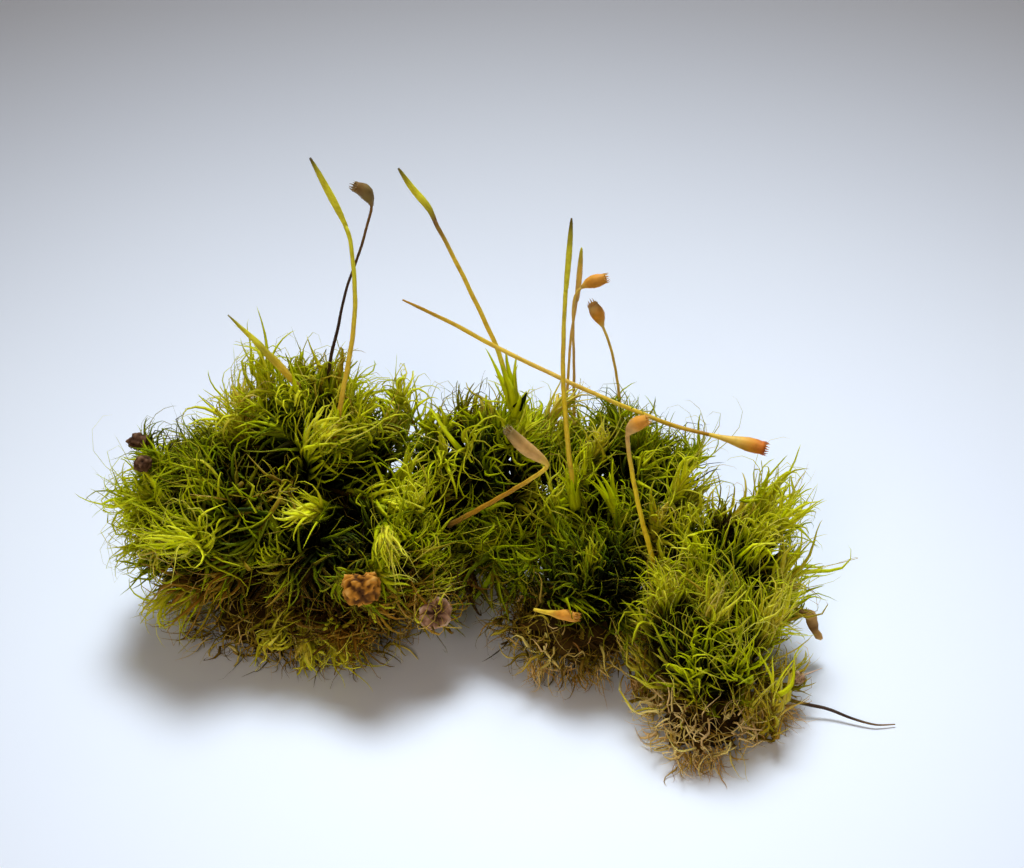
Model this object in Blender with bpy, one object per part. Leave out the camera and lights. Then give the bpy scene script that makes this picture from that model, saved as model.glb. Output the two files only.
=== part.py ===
"""A picked clump of fork moss with its spore stalks, lying on its flat underside."""
import random

import bmesh
import bpy
from mathutils import Vector, noise

# Lengths below are in millimetres. X runs along the clump, Z is up, and the near side is -Y.
MM = 0.001

# The middle of the clump's box on the ground is the origin, so everything moves by this much.
TO_ORIGIN = Vector((1.8, 2.7, 0.0))

GAP = 0.15  # left open between two pieces that touch
BED_GAP = 0.08  # left open round a stalk or a scrap that lies or stands in a tuft

# Each tuft and felt is a lumpy ellipsoid: its middle and its half sizes along X, Y and Z.
TUFTS = {
    "tuft_left": ((-15.0, -0.6, 5.6), (5.2, 5.6, 5.8)),
    "tuft_left_top": ((-10.0, 1.6, 7.7), (5.6, 5.2, 5.1)),
    "tuft_left_front": ((-8.2, -3.2, 5.0), (5.4, 4.2, 4.6)),
    "tuft_middle": ((-1.3, 1.8, 6.4), (5.2, 4.6, 4.5)),
    "tuft_middle_front": ((4.4, -4.6, 4.4), (3.4, 3.0, 3.4)),
    "tuft_right_back": ((5.2, 0.6, 6.2), (4.8, 4.8, 4.3)),
    "tuft_right": ((10.5, -3.2, 4.4), (4.1, 4.7, 4.0)),
    "tuft_right_front": ((9.6, -8.4, 3.6), (4.2, 4.2, 3.8)),
}
ROOT_FELTS = {
    "root_felt_left": ((-10.6, -1.6, 0.9), (6.6, 4.4, 2.4)),
    "root_felt_middle": ((3.3, -4.4, 2.2), (4.3, 3.6, 1.9)),
    "root_felt_right": ((9.4, -10.1, 0.9), (2.8, 3.5, 2.0)),
}
LUMPINESS = 0.09  # how far a tuft's surface swells and sinks, as a share of its half size
FELT_LUMPINESS = 0.16
SCRAP_LUMPINESS = 0.22
BUMPS = 1.6  # bumps across a half size
NOISE_START = Vector((0.0, 1.3, 0.0))
NOISE_STEP = Vector((3.7, 0.0, 5.1))  # between two pieces, so that no two are alike
TOUCHING = 0.8  # two lumps whose reaches make up this share of their distance are parted
GROUND_CLEARANCE = 0.35  # shoot tips stay this far above the ground

# A shoot tip grows from the surface of its tuft: (share of its reach, share of its foot's width).
SHOOT_TAPER = ((0.15, 0.65), (0.55, 0.32), (1.0, 0.05))
SHOOT_REACH = (1.3, 2.3)
SHOOT_LEAN = 0.45
SHOOT_SPACING = 1.75
SHOOT_HALF_WIDTH = 0.7
SHOOT_CLEAR_OF_STALKS = 0.35
TRIES_PER_SHOOT = 12
WHOLE_FACE = 0.45  # a face this share of the largest was not clipped where tufts part

# A stalk with its top is one path from foot to tip, parted where the top begins.
# Half widths are (share along the stalk or the top, half width).
STALK = ((0.0, 0.17), (0.1, 0.12), (0.9, 0.1), (1.0, 0.12))
THIN_STALK = ((0.0, 0.1), (0.5, 0.08), (1.0, 0.08))
HOOD = ((0.0, 0.14), (0.18, 0.24), (0.4, 0.25), (0.7, 0.15), (1.0, 0.03))
SLIM_HOOD = ((0.0, 0.12), (0.25, 0.2), (0.5, 0.2), (0.8, 0.14), (1.0, 0.06))
CAPSULE = ((0.0, 0.12), (0.2, 0.26), (0.6, 0.38), (0.85, 0.33), (1.0, 0.22))
OPEN_CAPSULE = ((0.0, 0.13), (0.2, 0.22), (0.45, 0.38), (0.75, 0.45), (0.92, 0.38), (1.0, 0.36))

YOUNG_GREEN = (0.36, 0.38, 0.05)
YELLOW_GREEN = (0.45, 0.42, 0.08)
GOLD = (0.48, 0.30, 0.05)
DARK_BROWN = (0.07, 0.035, 0.015)
OLIVE_BROWN = (0.22, 0.16, 0.05)
ORANGE = (0.62, 0.26, 0.05)
PALE_GOLD = (0.60, 0.45, 0.16)
LEAF_GREEN = (0.16, 0.26, 0.03)
FELT_BROWN = (0.15, 0.085, 0.035)
BARK_BROWN = (0.30, 0.14, 0.04)
HUSK_BROWN = (0.24, 0.15, 0.09)

# name: (path from foot to tip, share of the path that is stalk, half widths of each,
# the top's name, colours of each)
SPORE_STALKS = {
    "young_stalk_left": (
        ((-8.8, -0.9, 10.9), (-8.4, -0.6, 13.25), (-7.9, 0.3, 15.7), (-7.7, 1.2, 17.75),
         (-7.85, 2.2, 20.0), (-8.15, 2.6, 21.2), (-9.24, 3.2, 23.4), (-9.8, 3.5, 24.45)),
        0.74, STALK, HOOD, "young_hood_left", YELLOW_GREEN, YOUNG_GREEN),
    "dark_stalk": (
        ((-9.3, 2.2, 11.9), (-9.05, 2.4, 13.7), (-8.75, 2.7, 14.8), (-8.25, 3.2, 17.0),
         (-7.5, 3.7, 19.1), (-7.05, 4.0, 20.7), (-6.9, 4.1, 21.4), (-7.2, 4.0, 22.25),
         (-7.7, 3.9, 22.6)),
        0.865, THIN_STALK, CAPSULE, "dark_capsule", DARK_BROWN, OLIVE_BROWN),
    "young_stalk_middle": (
        ((0.3, 1.6, 9.0), (-0.15, 1.6, 11.5), (-0.35, 1.7, 12.95), (-0.75, 1.9, 14.45),
         (-1.85, 2.5, 16.9), (-2.8, 3.0, 18.9), (-3.7, 3.5, 20.65), (-4.1, 3.7, 21.5),
         (-4.9, 4.0, 22.45), (-5.55, 4.2, 23.45)),
        0.8, STALK, HOOD, "young_hood_middle", GOLD, YOUNG_GREEN),
    "young_stalk_right": (
        ((3.25, -2.2, 7.7), (2.85, -2.1, 10.45), (2.65, -1.9, 12.7), (2.5, -1.6, 14.9),
         (2.5, -1.2, 16.7), (2.57, -0.7, 18.95), (2.75, -0.2, 21.5), (2.85, 0.1, 23.1)),
        0.76, STALK, SLIM_HOOD, "young_hood_right", YELLOW_GREEN, YOUNG_GREEN),
    "fallen_stalk": (
        ((-5.4, 1.9, 17.3), (-3.05, 1.7, 16.1), (-0.75, 1.5, 14.75), (2.5, 1.3, 13.0),
         (4.35, 1.2, 12.05), (6.35, 1.2, 11.05), (8.3, 1.0, 10.3), (10.0, 0.7, 10.0),
         (12.0, 0.4, 9.6), (12.7, 0.3, 9.45)),
        0.855, STALK, OPEN_CAPSULE, "fallen_capsule", GOLD, ORANGE),
    "back_stalk_tall": (
        ((3.2, 3.9, 7.2), (3.15, 4.5, 11.75), (3.1, 4.9, 13.65), (3.15, 5.2, 15.3),
         (3.7, 5.3, 16.0), (4.7, 5.3, 16.4)),
        0.87, STALK, CAPSULE, "back_capsule_tall", OLIVE_BROWN, ORANGE),
    "back_stalk_low": (
        ((5.6, 3.7, 7.9), (5.45, 4.1, 10.3), (5.05, 4.6, 12.5), (4.5, 4.8, 14.1),
         (4.3, 4.85, 14.6), (4.05, 4.9, 15.1)),
        0.82, STALK, CAPSULE, "back_capsule_low", PALE_GOLD, ORANGE),
    "back_young_stalk": (
        ((2.6, 4.2, 7.0), (2.85, 5.1, 10.0), (3.0, 5.6, 12.6), (3.3, 6.0, 14.8), (3.5, 6.2, 17.65)),
        0.72, STALK, SLIM_HOOD, "back_young_hood", OLIVE_BROWN, YOUNG_GREEN),
    "nodding_stalk": (
        ((7.1, -4.5, 5.2), (6.85, -5.5, 7.2), (6.35, -5.3, 9.15), (5.9, -5.1, 11.4),
         (5.6, -5.0, 13.4), (5.6, -5.0, 14.1), (5.95, -5.0, 14.6), (6.5, -5.0, 14.9)),
        0.865, STALK, CAPSULE, "nodding_capsule", GOLD, ORANGE),
    "bent_stalk": (
        ((-3.2, -1.8, 6.2), (-2.6, -2.8, 7.3), (-1.1, -3.6, 8.9), (0.4, -4.2, 10.4),
         (1.5, -4.9, 11.8), (1.65, -5.1, 12.4), (0.6, -5.3, 13.5), (-0.2, -5.4, 14.55)),
        0.72, STALK, CAPSULE, "bent_capsule", GOLD, PALE_GOLD),
}

# Pieces swept along a path with nothing on top.
SLENDER_PIECES = {
    "short_hood": (
        ((-10.6, 1.6, 12.2), (-11.5, 1.65, 13.4), (-12.8, 1.9, 14.9), (-14.1, 2.3, 16.15)),
        ((0.0, 0.16), (0.3, 0.25), (0.6, 0.2), (0.85, 0.1), (1.0, 0.04)), YELLOW_GREEN),
    "loose_capsule": (
        ((1.1, -6.25, 4.3), (1.9, -6.9, 4.6), (3.2, -7.75, 5.0)),
        ((0.0, 0.08), (0.35, 0.12), (0.7, 0.27), (0.9, 0.26), (1.0, 0.15)), ORANGE),
    "curled_scrap": (
        ((14.3, -4.6, 2.9), (15.0, -4.4, 2.5), (15.2, -4.6, 1.8), (15.6, -4.9, 1.35)),
        ((0.0, 0.2), (0.5, 0.32), (0.8, 0.2), (0.92, 0.24), (1.0, 0.15)), BARK_BROWN),
    "dark_stem": (
        ((12.6, -8.9, 1.0), (13.3, -8.9, 0.85), (14.5, -9.2, 0.7), (15.7, -9.4, 0.5),
         (16.9, -9.9, 0.3), (17.9, -10.2, 0.2), (18.9, -10.1, 0.14)),
        ((0.0, 0.1), (0.5, 0.08), (0.85, 0.05), (1.0, 0.03)), DARK_BROWN),
}

# name: (middle, half sizes, turn about Z in radians, colour)
SCRAPS = {
    "bark_scrap": ((-7.35, -7.35, 6.45), (0.95, 0.35, 0.9), 0.2, BARK_BROWN),
    "husk": ((-3.8, -6.2, 4.0), (0.85, 0.4, 0.85), 0.5, HUSK_BROWN),
    "brown_lump_upper": ((-18.75, 0.3, 9.9), (0.55, 0.45, 0.4), 0.4, DARK_BROWN),
    "brown_lump_lower": ((-18.3, -1.9, 10.1), (0.5, 0.45, 0.4), 1.1, DARK_BROWN),
    "brown_bud": ((14.1, -8.4, 1.7), (0.4, 0.35, 0.3), 0.0, HUSK_BROWN),
}

PATH_STEPS = 2  # smooth points between two given ones
CLOSEST_POINTS = 0.04  # nearer points along a path are left out, as a share of its length
CLOSEST_TO_END = 0.01
CUTTER_BEVEL = 1
STALK_BEVEL = 1
TOP_BEVEL = 2
LUMP_SUBDIVISIONS = 2
SCRAP_SUBDIVISIONS = 1
CUT_SNAP = 0.01  # corners this near a cutting plane are moved onto it

SATIN = 0.4
DRY = 0.8
SEED = 20


class Lump:
    """An ellipsoid that stands for a tuft or a felt while the clump is parted."""

    def __init__(self, name, middle, half_sizes):
        self.name = name
        self.middle = Vector(middle)
        self.half_sizes = Vector(half_sizes)

    def reach(self, heading):
        """The distance from the middle to the surface along a unit vector."""
        scaled = [part / size for part, size in zip(heading, self.half_sizes)]
        return 1 / Vector(scaled).length

    def parting(self, other):
        """A point on the plane that parts this lump from another, and the unit vector to it."""
        apart = other.middle - self.middle
        heading = apart.normalized()
        own_reach = self.reach(heading)
        share = own_reach / (own_reach + other.reach(heading))
        return self.middle + apart * share, heading

    def touches(self, other):
        apart = other.middle - self.middle
        heading = apart.normalized()
        return self.reach(heading) + other.reach(heading) > TOUCHING * apart.length


def clear_scene():
    for thing in list(bpy.data.objects):
        bpy.data.objects.remove(thing)


def finish_material(thing, colour, roughness):
    material = bpy.data.materials.new(thing.name)
    material.use_nodes = True
    shader = material.node_tree.nodes["Principled BSDF"]
    shader.inputs["Base Color"].default_value = (*colour, 1.0)
    shader.inputs["Roughness"].default_value = roughness
    shader.inputs["Metallic"].default_value = 0.0
    thing.data.materials.append(material)


def add_object(name, data, parent):
    thing = bpy.data.objects.new(name, data)
    bpy.context.scene.collection.objects.link(thing)
    thing.parent = parent
    return thing


def mesh_object(name, shape, parent):
    """An object from a bmesh in millimetres."""
    bmesh.ops.recalc_face_normals(shape, faces=shape.faces)
    bmesh.ops.scale(shape, vec=(MM, MM, MM), verts=shape.verts)
    data = bpy.data.meshes.new(name)
    shape.to_mesh(data)
    shape.free()
    return add_object(name, data, parent)


def smooth_path(knots, steps=PATH_STEPS):
    """Points on a smooth curve through the knots, with steps between each two."""
    knots = [Vector(knot) for knot in knots]
    ends = [2 * knots[0] - knots[1]] + knots + [2 * knots[-1] - knots[-2]]
    points = []
    for before, start, end, after in zip(ends, ends[1:], ends[2:], ends[3:]):
        for step in range(steps):
            t = step / steps
            points.append(0.5 * (2 * start + (end - before) * t
                                 + (2 * before - 5 * start + 4 * end - after) * t ** 2
                                 + (3 * start - before - 3 * end + after) * t ** 3))
    return points + [knots[-1]]


def shares_along(points):
    """How far along the path each point lies, from 0 to 1."""
    lengths = [0.0]
    for start, end in zip(points, points[1:]):
        lengths.append(lengths[-1] + (end - start).length)
    return [length / lengths[-1] for length in lengths], lengths[-1]


def point_at(points, share):
    shares, _ = shares_along(points)
    for start, end, low, high in zip(points, points[1:], shares, shares[1:]):
        if share <= high:
            return start.lerp(end, (share - low) / (high - low))
    return points[-1]


def stretch(points, start, end):
    """The part of a path between two shares of its length."""
    shares, _ = shares_along(points)
    inner = [point for point, share in zip(points, shares)
             if start + CLOSEST_TO_END < share < end - CLOSEST_TO_END]
    return [point_at(points, start)] + inner + [point_at(points, end)]


def half_width(widths, share):
    for (low, narrow), (high, wide) in zip(widths, widths[1:]):
        if share <= high:
            return narrow + (wide - narrow) * (share - low) / (high - low)
    return widths[-1][1]


def with_width_points(points, widths):
    """The path with a point at each share where the half widths change."""
    shares, _ = shares_along(points)
    marks = sorted(set(shares) | {share for share, _ in widths})
    kept = [0.0]
    for mark in marks:
        if mark - kept[-1] > CLOSEST_POINTS:
            kept.append(mark)
    kept[-1] = 1.0
    return [point_at(points, share) for share in kept]


def swept_curve(name, points, widths, bevel, extra=0.0):
    """Curve data along the points, in metres, with the given half widths."""
    shares, _ = shares_along(points)
    curve = bpy.data.curves.new(name, "CURVE")
    curve.dimensions = "3D"
    curve.bevel_depth = MM
    curve.bevel_resolution = bevel
    curve.use_fill_caps = True
    spline = curve.splines.new("POLY")
    spline.points.add(len(points) - 1)
    for knot, point, share in zip(spline.points, points, shares):
        knot.co = (*(point * MM), 1.0)
        knot.radius = half_width(widths, share) + extra
    return curve


def add_swept(name, points, widths, bevel, colour, parent):
    thing = add_object(name, swept_curve(name, points, widths, bevel), parent)
    finish_material(thing, colour, SATIN)
    return thing


def add_cutter(name, points, widths, parent):
    """A mesh a little thicker than the swept piece, which cuts its bed in the tufts."""
    start = points[0] - (points[1] - points[0]).normalized() * BED_GAP
    end = points[-1] + (points[-1] - points[-2]).normalized() * BED_GAP
    longer = [start] + points[1:-1] + [end]
    source = add_object(name + "_path", swept_curve(name, longer, widths, CUTTER_BEVEL, BED_GAP),
                        parent)
    bpy.context.view_layer.update()
    evaluated = source.evaluated_get(bpy.context.evaluated_depsgraph_get())
    data = bpy.data.meshes.new_from_object(evaluated)
    bpy.data.objects.remove(source)
    cutter = add_object(name + "_bed", data, parent)
    cutter.hide_render = True
    cutter.display_type = "WIRE"
    return cutter


def box_of(thing):
    corners = [thing.matrix_world @ Vector(corner) for corner in thing.bound_box]
    return [(min(c[i] for c in corners), max(c[i] for c in corners)) for i in range(3)]


def boxes_meet(one, other):
    return all(a[0] < b[1] and b[0] < a[1] for a, b in zip(box_of(one), box_of(other)))


def cut_beds(carriers, cutters):
    for carrier in carriers:
        for cutter in cutters:
            if boxes_meet(carrier, cutter):
                bed = carrier.modifiers.new(cutter.name, "BOOLEAN")
                bed.operation = "DIFFERENCE"
                bed.solver = "EXACT"
                bed.object = cutter


def lumpy_ellipsoid(middle, half_sizes, lumpiness, offset, subdivisions):
    """A bmesh ellipsoid whose surface swells and sinks."""
    shape = bmesh.new()
    bmesh.ops.create_icosphere(shape, subdivisions=subdivisions, radius=1.0)
    for vertex in shape.verts:
        swell = 1 + lumpiness * noise.noise(vertex.co * BUMPS + offset)
        spread = Vector(part * size for part, size in zip(vertex.co, half_sizes))
        vertex.co = Vector(middle) + spread * swell
    return shape


def cut_flat(shape, point, normal):
    """Removes what lies beyond a plane and closes the cut."""
    geometry = shape.verts[:] + shape.edges[:] + shape.faces[:]
    result = bmesh.ops.bisect_plane(shape, geom=geometry, dist=CUT_SNAP, plane_co=point,
                                    plane_no=normal, clear_outer=True)
    rim = [part for part in result["geom_cut"] if isinstance(part, bmesh.types.BMEdge)]
    if rim:
        bmesh.ops.holes_fill(shape, edges=rim, sides=0)


def distance_to_path(point, path):
    """The shortest distance from a point to a run of straight stretches."""
    nearest = float("inf")
    for start, end in zip(path, path[1:]):
        along = end - start
        share = max(0.0, min(1.0, (point - start).dot(along) / along.length_squared))
        nearest = min(nearest, (point - start - along * share).length)
    return nearest


def is_free(lump, others, kept_clear, foot, outward, lean, reach):
    """Whether a shoot tip stays in its own tuft's room, above ground and clear of other pieces."""
    for share, width in SHOOT_TAPER:
        spot = foot + outward * (reach * share) + lean * (reach * share ** 2)
        thick = SHOOT_HALF_WIDTH * width
        if spot.z - thick < GROUND_CLEARANCE:
            return False
        for other in others:
            point, heading = lump.parting(other)
            if (spot - point).dot(heading) + thick + GAP > 0:
                return False
        if any(distance_to_path(spot, path) < room + thick for path, room in kept_clear):
            return False
    return True


def grow_shoot_tip(face, shape, outward, lean, reach):
    """Draws one face of a tuft out to a curved point."""
    foot = face.calc_center_median()
    reached = 1.0
    for share, width in SHOOT_TAPER:
        face = bmesh.ops.extrude_discrete_faces(shape, faces=[face])["faces"][0]
        middle = face.calc_center_median()
        spot = foot + outward * (reach * share) + lean * (reach * share ** 2)
        for vertex in face.verts:
            vertex.co = spot + (vertex.co - middle) * (width / reached)
        reached = width


def add_shoot_tips(shape, lump, others, kept_clear, picker):
    """Grows shoot tips from well-spaced faces on the free outer side of a tuft."""
    shape.faces.index_update()
    largest = max(face.calc_area() for face in shape.faces if len(face.verts) == 3)
    faces = [face for face in shape.faces
             if len(face.verts) == 3 and face.calc_area() > WHOLE_FACE * largest]
    feet = []
    for face in picker.sample(faces, len(faces)):
        foot = face.calc_center_median()
        if any((foot - other).length < SHOOT_SPACING for other in feet):
            continue
        outward = (foot - lump.middle).normalized()
        for _ in range(TRIES_PER_SHOOT):
            reach = picker.uniform(*SHOOT_REACH)
            lean = SHOOT_LEAN * Vector(picker.uniform(-1, 1) for _ in range(3))
            if is_free(lump, others, kept_clear, foot, outward, lean, reach):
                feet.append(foot)
                grow_shoot_tip(face, shape, outward, lean, reach)
                break


def add_clump_body(parent, kept_clear):
    """The tufts and the felts, parted by planes where they meet and flat on the ground."""
    lumps = [Lump(name, *sizes) for name, sizes in (TUFTS | ROOT_FELTS).items()]
    bodies = []
    for index, lump in enumerate(lumps):
        is_tuft = lump.name in TUFTS
        lumpiness = LUMPINESS if is_tuft else FELT_LUMPINESS
        offset = NOISE_START + NOISE_STEP * index
        shape = lumpy_ellipsoid(lump.middle, lump.half_sizes, lumpiness, offset, LUMP_SUBDIVISIONS)
        others = [other for other in lumps if other is not lump]
        for other in others:
            if lump.touches(other):
                point, heading = lump.parting(other)
                cut_flat(shape, point - heading * (GAP / 2), heading)
        cut_flat(shape, Vector((0, 0, 0)), Vector((0, 0, -1)))
        if is_tuft:
            add_shoot_tips(shape, lump, others, kept_clear, random.Random(SEED + index))
        body = mesh_object(lump.name, shape, parent)
        finish_material(body, LEAF_GREEN if is_tuft else FELT_BROWN, DRY)
        bodies.append(body)
    return bodies


def add_spore_stalks(parent):
    """Each stalk and its top, and the cutters of the beds that they stand or lie in."""
    cutters = []
    for name, (knots, parted, stalk_widths, top_widths, top_name, stalk_colour,
               top_colour) in SPORE_STALKS.items():
        points = smooth_path(knots)
        _, length = shares_along(points)
        lower = with_width_points(stretch(points, 0.0, parted), stalk_widths)
        upper = with_width_points(stretch(points, parted + BED_GAP / length, 1.0), top_widths)
        add_swept(name, lower, stalk_widths, STALK_BEVEL, stalk_colour, parent)
        add_swept(top_name, upper, top_widths, TOP_BEVEL, top_colour, parent)
        cutters.append(add_cutter(name, lower, stalk_widths, parent))
        cutters.append(add_cutter(top_name, upper, top_widths, parent))
    return cutters


def add_slender_pieces(parent):
    cutters = []
    for name, (knots, widths, colour) in SLENDER_PIECES.items():
        points = with_width_points(smooth_path(knots), widths)
        add_swept(name, points, widths, TOP_BEVEL, colour, parent)
        cutters.append(add_cutter(name, points, widths, parent))
    return cutters


def add_scraps(parent):
    """Loose lumps, each with a cutter of its own form grown by the gap."""
    cutters = []
    for index, (name, (middle, half_sizes, turn, colour)) in enumerate(SCRAPS.items()):
        for grown, label in ((0.0, name), (BED_GAP, name + "_bed")):
            sizes = [size + grown for size in half_sizes]
            offset = NOISE_START + NOISE_STEP * index
            shape = lumpy_ellipsoid((0, 0, 0), sizes, SCRAP_LUMPINESS, offset, SCRAP_SUBDIVISIONS)
            thing = mesh_object(label, shape, parent)
            thing.rotation_euler.z = turn
            thing.location = Vector(middle) * MM
            if grown:
                thing.hide_render = True
                thing.display_type = "WIRE"
                cutters.append(thing)
            else:
                finish_material(thing, colour, DRY)
    return cutters


def main():
    clear_scene()
    clump = bpy.data.objects.new("clump", None)
    bpy.context.scene.collection.objects.link(clump)
    clump.location = TO_ORIGIN * MM
    kept_clear = [(smooth_path(row[0]), SHOOT_CLEAR_OF_STALKS)
                  for row in (SPORE_STALKS | SLENDER_PIECES).values()]
    for middle, half_sizes, _, _ in SCRAPS.values():
        across = Vector((half_sizes[0] / 2, 0, 0))
        ends = [Vector(middle) - across, Vector(middle) + across]
        kept_clear.append((ends, half_sizes[0]))
    bodies = add_clump_body(clump, kept_clear)
    cutters = add_spore_stalks(clump)
    cutters += add_slender_pieces(clump)
    cutters += add_scraps(clump)
    bpy.context.view_layer.update()
    cut_beds(bodies, cutters)


main()
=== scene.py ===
from collections import namedtuple
import math

import bmesh
import bpy
import numpy as np
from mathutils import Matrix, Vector, noise


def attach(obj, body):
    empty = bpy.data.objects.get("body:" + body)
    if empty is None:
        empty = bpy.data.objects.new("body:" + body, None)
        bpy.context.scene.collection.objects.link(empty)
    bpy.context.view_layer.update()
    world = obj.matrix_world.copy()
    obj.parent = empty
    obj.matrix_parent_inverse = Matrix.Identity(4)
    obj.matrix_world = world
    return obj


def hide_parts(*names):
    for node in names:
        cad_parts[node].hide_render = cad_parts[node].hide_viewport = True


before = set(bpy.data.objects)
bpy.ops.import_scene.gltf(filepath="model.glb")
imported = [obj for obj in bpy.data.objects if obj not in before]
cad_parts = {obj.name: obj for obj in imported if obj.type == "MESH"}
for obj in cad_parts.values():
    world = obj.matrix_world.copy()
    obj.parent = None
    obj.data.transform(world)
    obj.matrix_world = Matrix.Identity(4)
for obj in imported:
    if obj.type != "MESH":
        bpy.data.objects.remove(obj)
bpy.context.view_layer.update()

# Lengths are in millimetres in the clump's own axes, as in the part's source: X runs along the clump,
# Z is up and the near side is -Y. This move puts the middle of the clump's box at the origin.
MM = 0.001
TO_ORIGIN = np.array((1.8, 2.7, 0.0))

# Each piece draws its random numbers from a seed of its own, counted from its kind's first one. The
# gaps between the leaves share one seed.
TUFT_SEED = 100
GAP_SEED = 100
FELT_SEED = 150
STALK_SEED = 170
SLENDER_SEED = 190
SCRAP_SEED = 220

# The camera looks down on the clump from the near side.
CAMERA_RAISED = math.radians(35)
CAMERA_AWAY = 170.0
CAMERA_AIM = np.array((0.0, 0.0, 10.55))
PICTURE_WIDTH = 1024
PIXEL_AT_AIM = 0.05
SENSOR_WIDTH = 36.0

# The main light hangs high behind the clump, and a weak warm one fills in from the near side.
SpotLight = namedtuple("SpotLight", "place aim power radius angle colour")
MAIN_LIGHT = SpotLight((0.0, 0.08, 0.19), (0.004, -0.003, 0.0), 3.3, 0.055, math.radians(32.5),
                       (0.82, 0.93, 1.08))
FILL_LIGHT = SpotLight((-0.07, -0.25, 0.18), (0.0, 0.0, 0.0), 1.35, 0.06, math.radians(26),
                       (1.0, 0.89, 0.83))
WORLD_STRENGTH = 0.16
WORLD_COLOUR = (1.0, 0.89, 0.83)

# A tuft is an ellipsoid of shoots. Its shoots lean and their leaves sweep the given ways, light is
# how light its leaves are, depth is how far the shoots' tips are inside its surface, and below the
# height old_below its leaves are old. Inner is the share of the places inside it that have shoots.
Tuft = namedtuple("Tuft", "middle half_sizes lean sweep light leaf_size curl depth old_below inner")
TUFTS = {
    "tuft_left": Tuft((-15.0, -0.6, 5.6), (5.2, 5.6, 5.8), (-0.5, -0.15, 0.1), (-1.0, -0.2, 0.0),
                      0.6, 1.02, 1.0, 2.0, 2.2, 1.0),
    "tuft_left_top": Tuft((-10.0, 1.6, 7.7), (5.6, 5.2, 5.1), (-0.1, 0.0, 0.5), (0.2, 0.0, 0.2),
                          0.56, 0.95, 1.0, 1.1, 2.0, 0.8),
    "tuft_left_front": Tuft((-8.2, -3.2, 5.0), (5.4, 4.2, 4.6), (0.1, -0.5, 0.1), (0.3, -0.3, 0.2),
                            0.58, 0.95, 1.0, 1.2, 3.4, 1.0),
    "tuft_middle": Tuft((-1.3, 1.8, 6.4), (5.2, 4.6, 4.5), (0.1, 0.0, 0.7), (0.3, 0.0, 0.2),
                        0.56, 0.92, 0.9, 1.2, 3.2, 0.35),
    "tuft_middle_front": Tuft((4.4, -4.6, 4.4), (3.4, 3.0, 3.4), (0.1, -0.3, 0.6), (0.2, -0.2, 0.5),
                              0.42, 0.9, 0.6, 1.2, 2.6, 0.8),
    "tuft_right_back": Tuft((5.2, 0.6, 6.2), (4.8, 4.8, 4.3), (0.1, 0.0, 1.2), (0.3, 0.0, 0.9),
                            0.53, 1.0, 0.6, 1.2, 2.0, 0.3),
    "tuft_right": Tuft((10.5, -3.2, 4.4), (4.1, 4.7, 4.0), (0.2, -0.1, 1.3), (0.1, 0.0, 1.3),
                       0.8, 1.05, 0.6, 1.5, 1.6, 0.2),
    "tuft_right_front": Tuft((9.6, -8.4, 3.6), (4.2, 4.2, 3.8), (0.1, -0.2, 1.2), (-0.1, 0.0, 1.3),
                             0.7, 1.05, 0.6, 1.3, 2.4, 0.5),
}
# A felt is an ellipsoid of root threads and old leaves, with a tone and an age of its own.
Felt = namedtuple("Felt", "middle half_sizes tone age")
ROOT_FELTS = {
    "root_felt_left": Felt((-10.6, -1.6, 0.9), (6.6, 4.4, 2.4), 0.55, 0.35),
    "root_felt_middle": Felt((3.3, -4.4, 2.2), (4.3, 3.6, 1.9), 0.5, 0.45),
    "root_felt_right": Felt((9.4, -10.1, 0.9), (2.8, 3.5, 2.0), 1.55, 0.6),
}
# Open places between the shoots, each a point and how far it reaches.
HOLLOWS = (
    ((-11.7, -2.6, 10.2), 1.5), ((-12.3, -4.0, 9.1), 0.9), ((-7.8, -6.3, 8.1), 1.2),
    ((-13.5, -0.5, 11.2), 1.0), ((4.8, -7.1, 6.2), 1.2), ((6.2, -8.3, 5.9), 0.9),
    ((-18.8, -3.2, 1.8), 2.6), ((-16.9, -5.0, 1.4), 2.0), ((5.9, -9.2, 4.2), 2.3),
    ((6.6, -11.4, 2.2), 2.2), ((13.4, -8.8, 2.6), 1.7),
)
# Narrow gaps that the bright floor behind is seen through. They slope down to the far side, and they
# cross the plane Y = 0 in boxes with these low and high corners in X and Z.
GapArea = namedtuple("GapArea", "low high gaps")
GAP_AREAS = (
    GapArea((-7.9, 8.0), (-3.1, 13.5), 18), GapArea((-7.9, 4.4), (-4.4, 6.5), 4),
    GapArea((-2.9, 7.7), (1.9, 9.9), 8), GapArea((3.9, 6.8), (6.4, 9.6), 6),
    GapArea((7.7, 3.5), (12.4, 8.4), 22), GapArea((11.7, -6.9), (14.4, 3.5), 24),
)
GAP_HALF_WIDTHS = (0.07, 0.15)
GAP_EDGES = (0.6, 1.3)  # a gap is this much narrower or wider for each leaf
GAP_UP = np.array((0.0, math.sin(CAMERA_RAISED), math.cos(CAMERA_RAISED)))  # across each gap
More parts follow.
